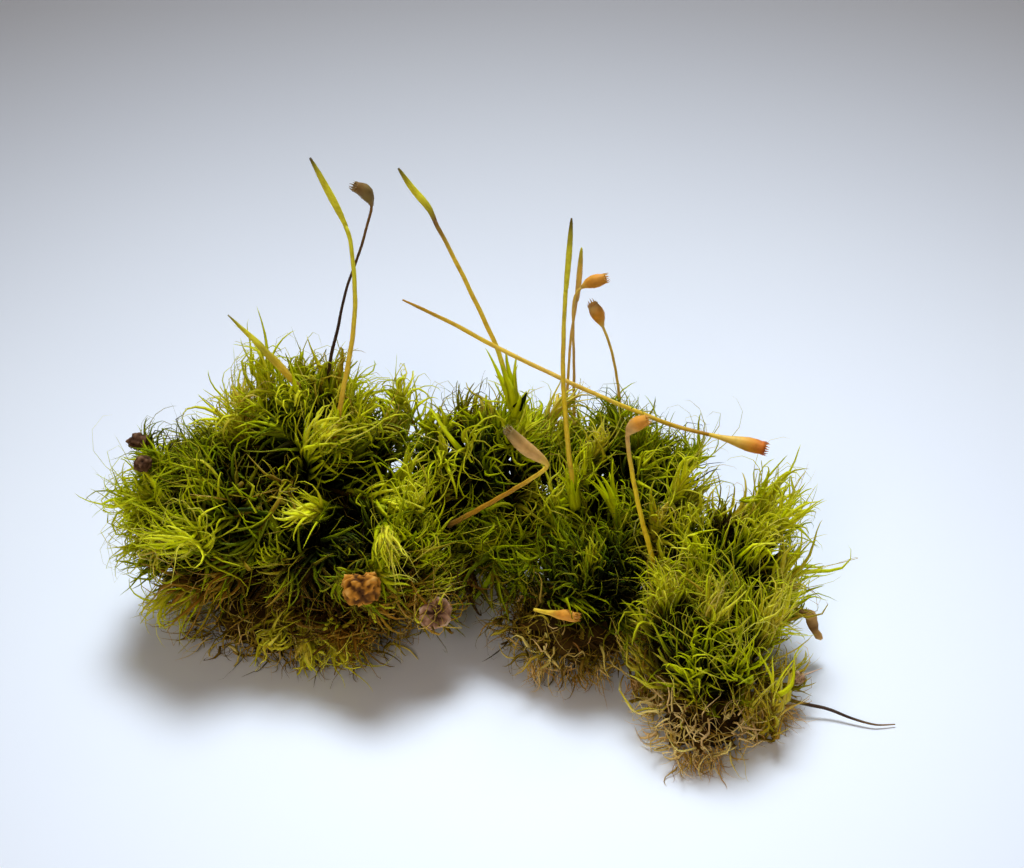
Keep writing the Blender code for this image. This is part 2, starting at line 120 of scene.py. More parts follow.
# Places where the leaves are made lighter, and places where they are painted dark as painted shade.
LIGHT_PLACES = (
    ((-17.3, -4.0, 9.4), 2.8), ((-18.4, -4.8, 6.3), 2.8), ((-14.1, -5.1, 9.0), 2.2),
    ((-9.8, -1.0, 12.1), 2.3), ((-7.0, -1.2, 11.0), 2.4), ((-5.8, -3.6, 9.1), 2.2),
    ((-10.4, -3.7, 9.2), 1.6), ((-4.0, -5.4, 6.7), 2.3), ((-3.6, -1.2, 9.2), 2.0),
    ((6.4, -1.9, 9.7), 2.1), ((8.9, -2.0, 7.9), 2.4), ((13.8, -3.7, 6.7), 2.8),
    ((9.1, -9.3, 7.3), 2.2), ((7.4, -11.1, 5.6), 2.3), ((-11.1, -6.0, 1.2), 1.8),
)
PAINTED_SHADE_PLACES = (
    ((-14.0, -0.7, 11.3), 2.2), ((-12.5, -1.4, 11.2), 2.2), ((-12.0, -3.4, 9.6), 1.8),
    ((-9.9, -6.0, 8.1), 1.4), ((-9.1, 1.2, 12.7), 1.4), ((-2.2, -2.6, 6.3), 2.4),
    ((2.4, -1.3, 9.3), 1.4), ((3.9, -3.6, 7.9), 1.8), ((4.8, -7.1, 6.2), 2.2),
    ((3.9, -7.4, 3.3), 2.4), ((8.7, -6.0, 7.2), 1.6), ((6.9, -9.3, 4.6), 1.8),
)
# Places where the leaves have withered to brown.
OLD_PLACES = (
    ((-15.6, -4.4, 2.8), 3.2), ((-13.2, -5.0, 3.0), 4.0), ((-10.0, -5.4, 3.1), 4.2),
    ((-7.0, -5.4, 3.1), 3.8), ((-2.0, -4.0, 3.4), 2.6), ((14.2, -6.0, 3.2), 2.0),
)
LIGHT_GAIN = 0.16
# How much lighter the light places make their shoots, and how much painted shade darkens the shade places.
PAINTED_SHADE_LOSS = 0.26
PLACE_CORE = 0.4  # the share of its reach within which a place counts in full

SHOOT_SPACING = 2.02
SHOOT_DEPTH = 3.2  # how far below its tip a shoot has leaves
STEM_LENGTH = SHOOT_DEPTH + 0.8
STEM_WIDTH = 0.3
STEM_TONE = 0.4
STEM_AGE = 0.7
LEAF_FOOT = 0.06  # how far a leaf starts from its stem's middle
LOWEST_FOOT = 0.7
LOWEST_INNER_FOOT = 0.5
STANDING_OUT = 0.65  # how far some shoots' tips stand out and others stay back
# Shoots that stand out are painted lighter and those that stay back darker, as painted light and shade.
STANDING_PAINTED_LIGHT = 0.13
# Shoots are left out where they stand inside another tuft that is shrunk by this factor.
OVERLAP = 0.82
LEAVES_PER_SHOOT = 47
INNER_SHARE = 0.56
INNER_SPACING = 2.1
INNER_LEAVES = 36
# Neighbouring shoots are alike over patches of these sizes, and differ by these amounts beyond them.
STANDING_PATCH, STANDING_DRIFT = 3.0, 1.6
LIGHT_PATCH, LIGHT_DRIFT = 2.6, 0.4
LEAN_PATCH, LEAN_DRIFT = 4.0, 0.9
SWEEP_PATCH, SWEEP_DRIFT = 5.0, 1.1
AGE_PATCH = 1.6
# Each shoot picks its own value in these ranges.
SHOOT_SIZES = (0.75, 1.2)
SHOOT_TURNS = (0.8, 1.4)
SWEEP_FORCES = (0.7, 2.4)
OPEN_SHARE = 0.25
OPENED_WIDE = (0.9, 1.2)
OPENED_LITTLE = (0.4, 0.8)
# Leaves stand off the stem by the first angle at its tip and by both together at its foot, in degrees.
LEAF_ANGLES = (10, 62)
LEAF_LENGTH = 3.35
LEAF_WIDTH = 0.31
# Some leaves are hairs, which are longer, thinner, older and more hooked than the others.
HAIR_SHARE = 0.18
HAIR_LENGTH = 1.45
HAIR_WIDTH = 0.35
HAIR_AGE = 0.3
HAIR_HOOK = 5
FRESH_AGE = 0.2  # how much of its age a fresh shoot's leaf has
WITHERED_LOSS = 0.22
LIGHTEST_SHOOT = 0.86
NEVER_BELOW = 0.03
LIFT_ROUNDING = 0.01
# Leaves are painted in full light at the first depth into a tuft and in their darkest painted shade at the
# second.
PAINTED_SHADE_DEPTHS = (0.08, 0.46)
DEEPEST_PAINTED_LIGHT = 0.06
GOLDEN_ANGLE = math.pi * (3 - math.sqrt(5))
SPOT_SCATTER = 0.35  # how far spots are off an even spread, as a share of their spacing

# A leaf bends more towards its tip, hooks beyond its middle and waves from side to side.
BEND_GROWTH = 1.25
HOOK_FROM = 0.5
HOOK_GROWTH = 1.5
WAVE_BEATS = (0.6, 1.4)
# Rings along a leaf, as shares of its length, before its pointed tip. Leaves near a shoot's tip have
# many, and those at its foot have few.
FINE_RINGS = (0.0, 0.11, 0.24, 0.38, 0.52, 0.66, 0.8, 0.92)
PLAIN_RINGS = (0.0, 0.15, 0.32, 0.5, 0.68, 0.86)
ROUGH_RINGS = (0.0, 0.25, 0.55, 0.82)
FINE_ABOVE = 0.42
ROUGH_BELOW = 0.18
LEAF_WIDTHS = ((0.0, 0.85), (0.1, 1.0), (0.28, 0.84), (0.5, 0.58), (0.75, 0.31), (1.0, 0.12))
# The cross-section of a leaf has two edges and a keel.
LEAF_SECTION = np.array(((-1.0, 0.25), (0.0, -0.5), (1.0, 0.25)))
THREAD_SECTION = np.array(((-0.87, -0.5), (0.87, -0.5), (0.0, 1.0)))
SHEATH_WIDTH = 0.55

FELT_CORE = 0.66
FELT_LAYERS = ((0.72, 0.55), (0.9, 1.0))  # each at a share of the felt's size, and its share of the tone
FELT_SPACING = 0.42
FELT_LEAF_SHARE = 0.5
FELT_LENGTHS = (1.0, 2.6)
FELT_LEAF_WIDTHS = (0.09, 0.2)
ROOT_WIDTHS = (0.035, 0.08)
HANGING_WIDTHS = (0.04, 0.11)

# A tube's sides, its ribs with their depth and twist, and the space between its rings.
Tube = namedtuple("Tube", "sides ribs rib_depth twist spacing")
STALK_TUBE = Tube(10, 3, 0.1, 14.0, 0.3)
CAPSULE_TUBE = Tube(20, 8, 0.05, 0.0, 0.12)
HOOD_TUBE = Tube(20, 3, 0.06, 0.0, 0.12)
SLENDER_TUBE = Tube(14, 3, 0.12, 6.0, 0.15)
STALK_LAP = 0.004  # how far a stalk runs into its top, as a share of the path
STALK_ROUGHNESS = 0.38
TOP_ROUGHNESS = 0.45
SLENDER_ROUGHNESS = 0.5
TOOTH_LENGTHS = (0.2, 0.36)
TOOTH_WIDTH = 0.34  # as a share of the mouth's radius
TOOTH_RING = 0.86  # where the teeth stand, as a share of it
TOOTH_ROOT = 0.08

LUMP_SUBDIVISIONS = 4
FELT_PATTERN = 20  # the noise patterns of the lumps are counted from these numbers
SCRAP_PATTERN = 60
STREAKS = 0.4  # an angular lump's bumps are stretched upwards by one part in this
CORNERS = 4  # the power that squares an angular lump

# The noises of the colours, in waves to a metre. The grain also sets the roughness and the bumps.
GRAIN = 2500.0
MARKED_BLOTCHES = 380.0
RAMP_BLOTCHES = 900.0
FLOOR_BLOTCHES = 30.0
FLOOR_COLOURS = ((0.3, (0.88, 0.9, 0.93)), (0.7, (0.9, 0.92, 0.94)))
FLOOR_SIZE = 1.6  # metres
FLECK = (0.6, 0.52, 0.45)
BUMP_HEIGHT = 0.00002  # metres
STALK_GLOW = 0.2
LIGHT_THROUGH = (1.0, 1.0, 0.4)  # how far red, green and blue light pass through, as shares of the reach
LIGHT_THROUGH_REACH = 0.0003  # metres

# Half widths are (share along the piece, half width). A share that turns back makes a hollow mouth.
STALK = ((0.0, 0.16), (0.15, 0.13), (0.9, 0.105), (1.0, 0.11))
LOOSE_STALK = ((0.0, 0.04), (0.05, 0.08), (0.2, 0.11), (0.9, 0.11), (1.0, 0.09))
THIN_STALK = ((0.0, 0.1), (0.5, 0.07), (1.0, 0.07))
HOOD = ((0.0, 0.11), (0.1, 0.13), (0.25, 0.17), (0.4, 0.185), (0.55, 0.175), (0.75, 0.14), (0.92, 0.09),
        (1.0, 0.05))
SLIM_HOOD = ((0.0, 0.1), (0.06, 0.12), (0.25, 0.14), (0.5, 0.15), (0.75, 0.125), (0.93, 0.08), (1.0, 0.04))
CAPSULE = ((0.0, 0.09), (0.12, 0.14), (0.28, 0.25), (0.5, 0.34), (0.7, 0.34), (0.88, 0.28),
           (0.95, 0.26), (1.0, 0.27), (0.99, 0.22), (0.93, 0.2), (0.85, 0.16))
OPEN_CAPSULE = ((0.0, 0.1), (0.2, 0.13), (0.38, 0.2), (0.55, 0.3), (0.7, 0.37), (0.85, 0.37),
                (0.93, 0.34), (1.0, 0.37), (0.99, 0.32), (0.94, 0.29), (0.86, 0.22))

# Each colour is a row of linear red, green and blue; the ramps run from foot to tip.
RUST = (0.5, 0.24, 0.015)
GOLD = (0.97, 0.64, 0.05)
BRIGHT_YELLOW = (1.0, 0.68, 0.02)
PALE_GOLD = (0.95, 0.6, 0.1)
OLIVE = (0.58, 0.5, 0.03)
DARK_OLIVE = (0.26, 0.17, 0.05)
GREEN_YELLOW = (0.9, 0.8, 0.04)
LEAF_GREEN = (0.5, 0.54, 0.03)
DARK_TIP = (0.1, 0.06, 0.02)
DARK_BROWN = (0.06, 0.03, 0.015)
BROWN = (0.26, 0.13, 0.035)
ORANGE = (0.85, 0.36, 0.04)
TAN = (0.76, 0.44, 0.13)
RED_ORANGE = (0.75, 0.14, 0.025)

# A stalk and its top share one path from foot to tip, and parted is the share of it that is stalk.
SporeStalk = namedtuple("SporeStalk", "path parted widths top_widths colours slot top top_colours "
                                      "top_slot teeth")
SPORE_STALKS = {
    "young_stalk_left": SporeStalk(
        ((-8.8, -0.9, 10.9), (-8.4, -0.6, 13.25), (-7.9, 0.3, 15.7), (-7.7, 1.2, 17.75),
         (-7.85, 2.2, 20.0), (-8.15, 2.6, 21.2), (-9.24, 3.2, 23.4), (-9.8, 3.5, 24.45)),
        0.74, STALK, HOOD, (RUST, GOLD, GOLD, GREEN_YELLOW, GREEN_YELLOW), "green_stalk",
        "young_hood_left", (GREEN_YELLOW, GREEN_YELLOW, GREEN_YELLOW, GREEN_YELLOW, OLIVE, DARK_TIP),
        "green_hood", 0),
    "dark_stalk": SporeStalk(
        ((-9.3, 2.2, 11.9), (-9.05, 2.4, 13.7), (-8.75, 2.7, 14.8), (-8.25, 3.2, 17.0),
         (-7.5, 3.7, 19.1), (-7.05, 4.0, 20.7), (-6.9, 4.1, 21.4), (-7.2, 4.0, 22.25),
         (-7.7, 3.9, 22.6)),
        0.865, THIN_STALK, CAPSULE, (DARK_BROWN, DARK_BROWN, BROWN), "dark_stem",
        "dark_capsule", (BROWN, DARK_OLIVE, DARK_OLIVE, BROWN), "brown_capsule", 12),
    "young_stalk_middle": SporeStalk(
        ((0.3, 1.6, 9.0), (-0.15, 1.6, 11.5), (-0.35, 1.7, 12.95), (-0.75, 1.9, 14.45),
         (-1.85, 2.5, 16.9), (-2.8, 3.0, 18.9), (-3.7, 3.5, 20.65), (-4.1, 3.7, 21.5),
         (-4.9, 4.0, 22.45), (-5.55, 4.2, 23.45)),
        0.8, STALK, HOOD, (LEAF_GREEN, LEAF_GREEN, GREEN_YELLOW, GOLD, GOLD, GOLD, BROWN), "golden_stalk",
        "young_hood_middle", (BROWN, OLIVE, GREEN_YELLOW, GREEN_YELLOW, OLIVE, DARK_TIP),
        "green_hood", 0),
    "young_stalk_right": SporeStalk(
        ((3.25, -2.2, 7.7), (2.85, -2.1, 10.45), (2.65, -1.9, 12.7), (2.5, -1.6, 14.9),
         (2.5, -1.2, 16.7), (2.57, -0.7, 18.95), (2.75, -0.2, 21.5), (2.85, 0.1, 23.1)),
        0.76, STALK, SLIM_HOOD, (GOLD, GOLD, BRIGHT_YELLOW, GOLD, GREEN_YELLOW), "green_stalk",
        "young_hood_right", (GREEN_YELLOW, GREEN_YELLOW, GREEN_YELLOW, OLIVE, DARK_TIP),
        "green_hood", 0),
    "fallen_stalk": SporeStalk(
        ((-5.4, 1.9, 17.3), (-3.05, 1.7, 16.1), (-0.75, 1.5, 14.75), (2.5, 1.3, 13.0),
         (4.35, 1.2, 12.05), (6.35, 1.2, 11.05), (8.3, 1.0, 10.3), (10.0, 0.7, 10.0),
         (12.0, 0.4, 9.6), (12.7, 0.3, 9.45)),
        0.855, LOOSE_STALK, OPEN_CAPSULE, (RUST, GOLD, PALE_GOLD, GOLD, RUST), "golden_stalk",
        "fallen_capsule", (GOLD, PALE_GOLD, PALE_GOLD, ORANGE, RED_ORANGE), "orange_capsule", 16),
    "back_stalk_tall": SporeStalk(
        ((3.2, 3.9, 7.2), (3.15, 4.5, 11.75), (3.1, 4.9, 13.65), (3.15, 5.2, 15.3),
         (3.7, 5.3, 16.0), (4.7, 5.3, 16.4)),
        0.87, THIN_STALK, CAPSULE, (PALE_GOLD, TAN, PALE_GOLD), "golden_stalk",
        "back_capsule_tall", (PALE_GOLD, ORANGE, ORANGE, ORANGE), "orange_capsule", 12),
    "back_stalk_low": SporeStalk(
        ((5.6, 3.7, 7.9), (5.45, 4.1, 10.3), (5.05, 4.6, 12.5), (4.5, 4.8, 14.1),
         (4.3, 4.85, 14.6), (4.05, 4.9, 15.1)),
        0.82, THIN_STALK, CAPSULE, (PALE_GOLD, PALE_GOLD, PALE_GOLD), "golden_stalk",
        "back_capsule_low", (PALE_GOLD, ORANGE, ORANGE, TAN), "orange_capsule", 12),
    "back_young_stalk": SporeStalk(
        ((2.6, 4.2, 7.0), (2.85, 5.1, 10.0), (3.0, 5.6, 12.6), (3.3, 6.0, 14.8), (3.5, 6.2, 17.65)),
        0.72, THIN_STALK, SLIM_HOOD, (RUST, PALE_GOLD, TAN), "golden_stalk",
        "back_young_hood", (TAN, PALE_GOLD, OLIVE), "green_hood", 0),
    "nodding_stalk": SporeStalk(
        ((7.1, -4.5, 5.2), (6.85, -5.5, 7.2), (6.35, -5.3, 9.15), (5.9, -5.1, 11.4),
         (5.6, -5.0, 13.4), (5.6, -5.0, 14.1), (5.95, -5.0, 14.6), (6.5, -5.0, 14.9)),
        0.865, STALK, CAPSULE, (RUST, BRIGHT_YELLOW, BRIGHT_YELLOW, BRIGHT_YELLOW, TAN), "golden_stalk",
        "nodding_capsule", (TAN, TAN, ORANGE, ORANGE), "orange_capsule", 12),
    "bent_stalk": SporeStalk(
        ((-3.2, -1.8, 6.2), (-2.6, -2.8, 7.3), (-1.1, -3.6, 8.9), (0.4, -4.2, 10.4),
         (1.5, -4.9, 11.8), (1.65, -5.1, 12.4), (0.6, -5.3, 13.5), (-0.2, -5.4, 14.55)),
        0.72, STALK, CAPSULE, (BROWN, RUST, RUST, GOLD), "golden_stalk",
        "bent_capsule", (GOLD, TAN, TAN, DARK_OLIVE), "brown_capsule", 12),
}
# A slender piece is swept along a path, with nothing on top but the teeth of an open mouth.
SlenderPiece = namedtuple("SlenderPiece", "path widths colours slot teeth")
SLENDER_PIECES = {
    "short_hood": SlenderPiece(
        ((-10.6, 1.6, 12.2), (-11.5, 1.65, 13.4), (-12.8, 1.9, 14.9), (-14.1, 2.3, 16.15)),
        ((0.0, 0.13), (0.15, 0.17), (0.35, 0.2), (0.6, 0.17), (0.85, 0.09), (1.0, 0.03)),
        (BROWN, GOLD, OLIVE, GREEN_YELLOW, DARK_TIP), "green_hood", 0),
    "loose_capsule": SlenderPiece(
        ((1.1, -6.25, 4.3), (1.9, -6.9, 4.6), (3.2, -7.75, 5.0)),
        ((0.0, 0.08), (0.35, 0.12), (0.55, 0.2), (0.75, 0.28), (0.92, 0.25), (1.0, 0.24),
         (0.99, 0.19), (0.9, 0.16)),
        (GOLD, GOLD, ORANGE, ORANGE), "orange_capsule", 12),
    "curled_scrap": SlenderPiece(
        ((14.3, -4.6, 2.9), (15.0, -4.4, 2.5), (15.2, -4.6, 1.8), (15.6, -4.9, 1.35)),
        ((0.0, 0.1), (0.2, 0.22), (0.45, 0.3), (0.65, 0.26), (0.78, 0.18), (0.9, 0.2), (1.0, 0.08)),
        (BROWN, TAN, BROWN, TAN), "bark", 0),
    "dark_stem": SlenderPiece(
        ((12.6, -8.9, 1.0), (13.3, -8.9, 0.85), (14.5, -9.2, 0.7), (15.7, -9.4, 0.5),
         (16.9, -9.9, 0.3), (17.9, -10.2, 0.2), (18.9, -10.1, 0.14)),
        ((0.0, 0.1), (0.5, 0.08), (0.85, 0.05), (1.0, 0.03)),
        (OLIVE, DARK_BROWN, DARK_BROWN, BROWN), "dark_stem", 0),
}
# Bumps is how fine a scrap's bumps are, and hollow is the way that its dent faces.
Scrap = namedtuple("Scrap", "middle half_sizes turn roughness bumps hollow is_angular kind")
SCRAPS = {
    "bark_scrap": Scrap((-7.35, -7.35, 6.45), (0.85, 0.4, 0.8), 0.2, 0.3, 4.6, None, True, "bark"),
    "husk": Scrap((-3.8, -6.2, 4.0), (0.85, 0.55, 0.85), 0.5, 0.2, 2.2, (-0.2, -0.8, 0.5), False, "husk"),
    "brown_lump_upper": Scrap((-18.75, 0.3, 9.9), (0.55, 0.45, 0.4), 0.4, 0.3, 2.2, None, False, "lump"),
    "brown_lump_lower": Scrap((-18.3, -1.9, 10.1), (0.5, 0.45, 0.4), 1.1, 0.3, 2.2, None, False, "lump"),
    "brown_bud": Scrap((14.1, -8.4, 1.7), (0.4, 0.35, 0.3), 0.0, 0.25, 2.2, None, False, "husk"),
}
SCRAP_TONE = 0.52
SCRAP_TONE_GAIN = 0.6
# A dry point that stands out of a scrap: its way, length and width.
SCRAP_POINTS = {"brown_bud": ((1.0, 0.3, 0.25), 1.4, 0.22)}
# Broad upright leaves that stand close together, mostly round a stalk's foot. One is nearly black.
Sheath = namedtuple("Sheath", "foot way length leaves tone")
SHEATHS = {
    "tuft_middle": (Sheath((0.05, 1.5, 11.5), (-0.22, 0.1, 1.0), 3.6, 6, 0.66),
                    Sheath((0.35, 1.1, 11.4), (0.45, 0.0, 1.0), 1.7, 3, 0.6),
                    Sheath((0.5, 0.9, 11.9), (0.55, 0.0, 1.0), 1.2, 1, 0.05)),
    "tuft_right_back": (Sheath((5.3, -2.8, 7.6), (-0.35, 0.1, 1.0), 3.6, 7, 0.6),
                        Sheath((3.1, -2.5, 8.4), (-0.1, 0.0, 1.0), 2.6, 9, 0.6)),
    "tuft_left_top": (Sheath((-8.7, -0.7, 11.4), (0.1, 0.1, 1.0), 2.2, 6, 0.6),
                      Sheath((-9.2, 2.2, 12.2), (0.1, 0.1, 1.0), 1.6, 4, 0.5)),
}
# Shoots that stand clear of their tuft: the tip, its way, the size and light, and whether it is fresh.
LONE_SHOOTS = {
    "tuft_left": (
        ((-18.6, -1.6, 7.6), (-1.0, -0.1, 0.15), 1.1, 0.75, True),
        ((-18.4, -2.6, 5.6), (-1.0, -0.3, -0.05), 1.1, 0.7, True),
        ((-17.3, -4.2, 3.4), (-0.9, -0.5, -0.15), 1.0, 0.75, True),
        ((-18.2, 0.6, 9.2), (-0.7, 0.1, 0.7), 0.85, 0.4, False),
        ((-17.8, -1.0, 9.6), (-0.6, -0.2, 0.8), 0.8, 0.45, False)),
    "tuft_middle": (
        ((-0.8, -3.6, 4.6), (0.0, -0.9, -0.3), 1.0, 0.42, False),
        ((-2.2, -3.9, 4.0), (-0.1, -0.9, -0.4), 1.0, 0.38, False),
        ((0.8, -3.6, 5.2), (0.2, -0.9, -0.1), 0.9, 0.42, False),
        ((0.3, -4.0, 4.2), (0.1, -0.9, -0.3), 0.9, 0.36, False)),
    "tuft_right": (
        ((13.4, -3.2, 7.6), (0.25, -0.1, 1.0), 1.15, 0.75, True),
        ((14.0, -4.0, 5.2), (0.4, -0.1, 0.9), 1.05, 0.78, True),
        ((12.4, -2.2, 7.8), (0.1, 0.0, 1.0), 1.0, 0.7, True),
        ((13.9, -4.1, 3.2), (0.8, 0.1, 0.3), 0.6, 0.55, False),
        ((14.1, -4.3, 2.4), (0.9, 0.1, -0.1), 0.55, 0.5, False)),
    "tuft_right_front": (
        ((13.5, -8.0, 1.8), (0.9, 0.2, 0.1), 0.6, 0.55, False),
        ((13.3, -8.6, 1.3), (0.8, -0.3, -0.2), 0.6, 0.45, False)),
    "tuft_left_front": (
        ((-10.2, -6.2, 1.6), (0.1, -1.0, -0.1), 0.8, 0.85, True),
        ((-8.6, -6.4, 1.7), (0.2, -1.0, 0.0), 0.8, 0.85, True),
        ((-12.0, -5.8, 1.9), (-0.3, -1.0, 0.0), 0.8, 0.75, True),
        ((-3.6, -5.0, 3.4), (0.5, -0.7, -0.3), 0.85, 0.38, False),
        ((-7.4, -6.7, 5.5), (0.0, -0.8, -0.4), 0.75, 0.4, False),
        ((-6.5, -6.5, 6.9), (0.5, -0.8, 0.3), 0.75, 0.5, False),
        ((-8.3, -6.6, 6.5), (-0.6, -0.8, 0.2), 0.75, 0.45, False)),
}
# Root threads that hang out of a felt.
Hanging = namedtuple("Hanging", "place spread way length threads tone")
HANGING_THREADS = {
    "root_felt_left": (Hanging((-9.6, -5.2, 0.9), 2.4, (0.0, -1.0, -0.2), 1.3, 60, 0.5),),
    "root_felt_middle": (Hanging((1.3, -6.9, 1.5), 0.9, (0.1, -0.6, -0.9), 1.5, 46, 0.8),
                         Hanging((3.6, -7.4, 1.3), 1.2, (0.2, -0.8, -0.5), 1.4, 50, 0.7),
                         Hanging((6.2, -7.6, 0.9), 0.9, (0.2, -0.9, -0.4), 1.3, 50, 0.7)),
    "root_felt_right": (Hanging((9.0, -13.0, 0.7), 1.4, (0.1, -1.0, -0.3), 1.5, 70, 0.8),
                        Hanging((12.6, -9.6, 0.9), 1.0, (0.9, -0.6, -0.2), 2.0, 80, 0.8)),
}


def unit(rows):
    return rows / np.linalg.norm(rows, axis=-1, keepdims=True)


def perpendicular(rows, to):
    """The part of each row at right angles to a unit vector, as a unit vector."""
    return unit(rows - np.sum(rows * to, axis=-1, keepdims=True) * to)


def spokes(first, second, angles):
    """Directions turned from the first towards the second by the given angles."""
    return first * np.cos(angles)[..., None] + second * np.sin(angles)[..., None]


def smoothstep(low, high, values):
    share = np.clip((values - low) / (high - low), 0, 1)
    return share * share * (3 - 2 * share)


def lifted(heights):
    """Heights bent softly up where they would pass below the ground."""
    over = heights - NEVER_BELOW
    return NEVER_BELOW + 0.5 * (over + np.sqrt(over * over + LIFT_ROUNDING))


def insideness(points):
    """How deep each point is inside the tufts: 0 at their surface and 1 at a middle."""
    deepest = np.full(points.shape[:-1], -1.0)
    for tuft in TUFTS.values():
        scaled = (points - np.array(tuft.middle)) / np.array(tuft.half_sizes)
        deepest = np.maximum(deepest, 1 - np.linalg.norm(scaled, axis=-1))
    return deepest


def nearness(points, places):
    """1 at the middle of the nearest place, 0 beyond its reach."""
    near = np.zeros(points.shape[:-1])
    for place, reach in places:
        away = np.linalg.norm(points - np.array(place), axis=-1) / reach
        near = np.maximum(near, 1 - smoothstep(PLACE_CORE, 1.0, away))
    return near


def patches(points, size, seed):
    """Smooth noise from -1 to 1 with patches of about this size. Each seed is a pattern of its own."""
    offset = Vector((seed * 3.7, seed * 1.9, seed * 5.3))
    return np.array([noise.noise(Vector(point) / size + offset) for point in points])


class Pile:
    """Many small closed shapes joined in one mesh. Each point has three marks: how far along its
    shape it is, its tone and its age, all from 0 to 1."""

    def __init__(self):
        self.points = []
        self.faces = []
        self.marks = []
        self.count = 0

    def add(self, points, groups, marks):
        self.points.append(np.asarray(points, float).reshape(-1, 3))
        self.marks.append(np.asarray(marks, float).reshape(-1, 3))
        for group in groups:
            self.faces.extend((np.asarray(group) + self.count).tolist())
        self.count += len(self.points[-1])

    def build(self, name, material, nodes):
        points = np.concatenate(self.points)
        points[:, 2] = np.maximum(points[:, 2], NEVER_BELOW)
        mesh = bpy.data.meshes.new(name)
        mesh.from_pydata((points + TO_ORIGIN) * MM, [], self.faces)
        marks = np.clip(np.concatenate(self.marks), 0, 1)
        rows = np.concatenate([marks, np.ones((len(marks), 1))], axis=1)
        colours = mesh.color_attributes.new("marks", "FLOAT_COLOR", "POINT")
        colours.data.foreach_set("color", rows.astype(np.float32).ravel())
        mesh.shade_smooth()
        mesh.materials.append(material)
        piece = bpy.data.objects.new(name, mesh)
        bpy.context.scene.collection.objects.link(piece)
        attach(piece, "root")
        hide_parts(*nodes)


def ring_faces(rings, sides):
    """The faces between neighbouring rings of a tube."""
    ring = np.arange(rings - 1)[:, None] * sides
    here = np.arange(sides)[None]
    after = (here + 1) % sides
    faces = np.stack([ring + here, ring + after, ring + sides + after, ring + sides + here], axis=-1)
    return faces.reshape(-1, 4)


def tapering_faces(rings, sides, copies):
    """Faces of copies of a closed tube of rings that ends in a point."""
    last = (rings - 1) * sides
    tip = rings * sides
    triangles = [(last + side, last + (side + 1) % sides, tip) for side in range(sides)]
    triangles += [(0, side + 1, side) for side in range(1, sides - 1)]
    starts = (np.arange(copies) * (tip + 1))[:, None, None]
    return [(ring_faces(rings, sides)[None] + starts).reshape(-1, 4),
            (np.array(triangles)[None] + starts).reshape(-1, 3)]


def blade_rows(base, heading, rng, length, width, tone, age, bend_to=None, turn=0.0, hook=0.0,
               wave=0.0, twist=0.0):
    """The rows that add_blades takes, with one value or one per blade for each measure."""
    count = len(base)
    if bend_to is None:
        bend_to = rng.normal(0, 1, (count, 3))
    measures = {"length": length, "width": width, "tone": tone, "age": age, "turn": turn, "hook": hook,
                "wave": wave, "twist": twist}
    rows = {name: np.ones(count) * value for name, value in measures.items()}
    return rows | {"base": base, "heading": heading, "bend_to": perpendicular(bend_to, heading)}


def centre_lines(blades, rings, rng):
    """Points along the middle of each blade, the ways between them, and its sideways direction. A
    blade starts at its base along its heading and turns towards bend_to."""
    count = len(blades["base"])
    shares = np.append(rings, 1.0)
    middle = (shares[1:] + shares[:-1]) / 2
    hooked = np.clip((middle - HOOK_FROM) / (1 - HOOK_FROM), 0, 1) ** HOOK_GROWTH
    angle = blades["turn"][:, None] * middle ** BEND_GROWTH + blades["hook"][:, None] * hooked
    heading = blades["heading"]
    sideways = np.cross(heading, blades["bend_to"])
    start = rng.uniform(0, 2 * math.pi, count)
    beats = rng.uniform(*WAVE_BEATS, count)
    swing = blades["wave"][:, None] * np.sin(start[:, None] + 2 * math.pi * beats[:, None] * middle)
    bent = spokes(heading[:, None], blades["bend_to"][:, None], angle)
    direction = unit(bent + sideways[:, None] * swing[..., None])
    runs = direction * (np.diff(shares) * blades["length"][:, None])[..., None]
    base = blades["base"]
    centres = np.concatenate([base[:, None], base[:, None] + np.cumsum(runs, axis=1)], axis=1)
    centres[..., 2] = lifted(centres[..., 2])
    return centres, direction, sideways


def placed_gaps():
    """Where each gap crosses the plane Y = 0, and its half width."""
    rng = np.random.default_rng(GAP_SEED)
    spots = np.concatenate([rng.uniform(area.low, area.high, (area.gaps, 2)) for area in GAP_AREAS])
    return list(zip(spots, rng.uniform(*GAP_HALF_WIDTHS, len(spots))))


GAPS = placed_gaps()


def crosses_gap(centres, rng):
    """Whether each blade passes through one of the gaps, whose edges are ragged."""
    spots = np.concatenate([centres, (centres[:, 1:] + centres[:, :-1]) / 2], axis=1)
    height = spots @ GAP_UP
    crosses = np.zeros(len(spots), bool)
    for (gap_x, gap_z), half_width in GAPS:
        apart = (spots[..., 0] - gap_x) ** 2 + (height - gap_z * GAP_UP[2]) ** 2
        crosses |= apart.min(axis=1) < (half_width * rng.uniform(*GAP_EDGES, len(spots))) ** 2
    return crosses


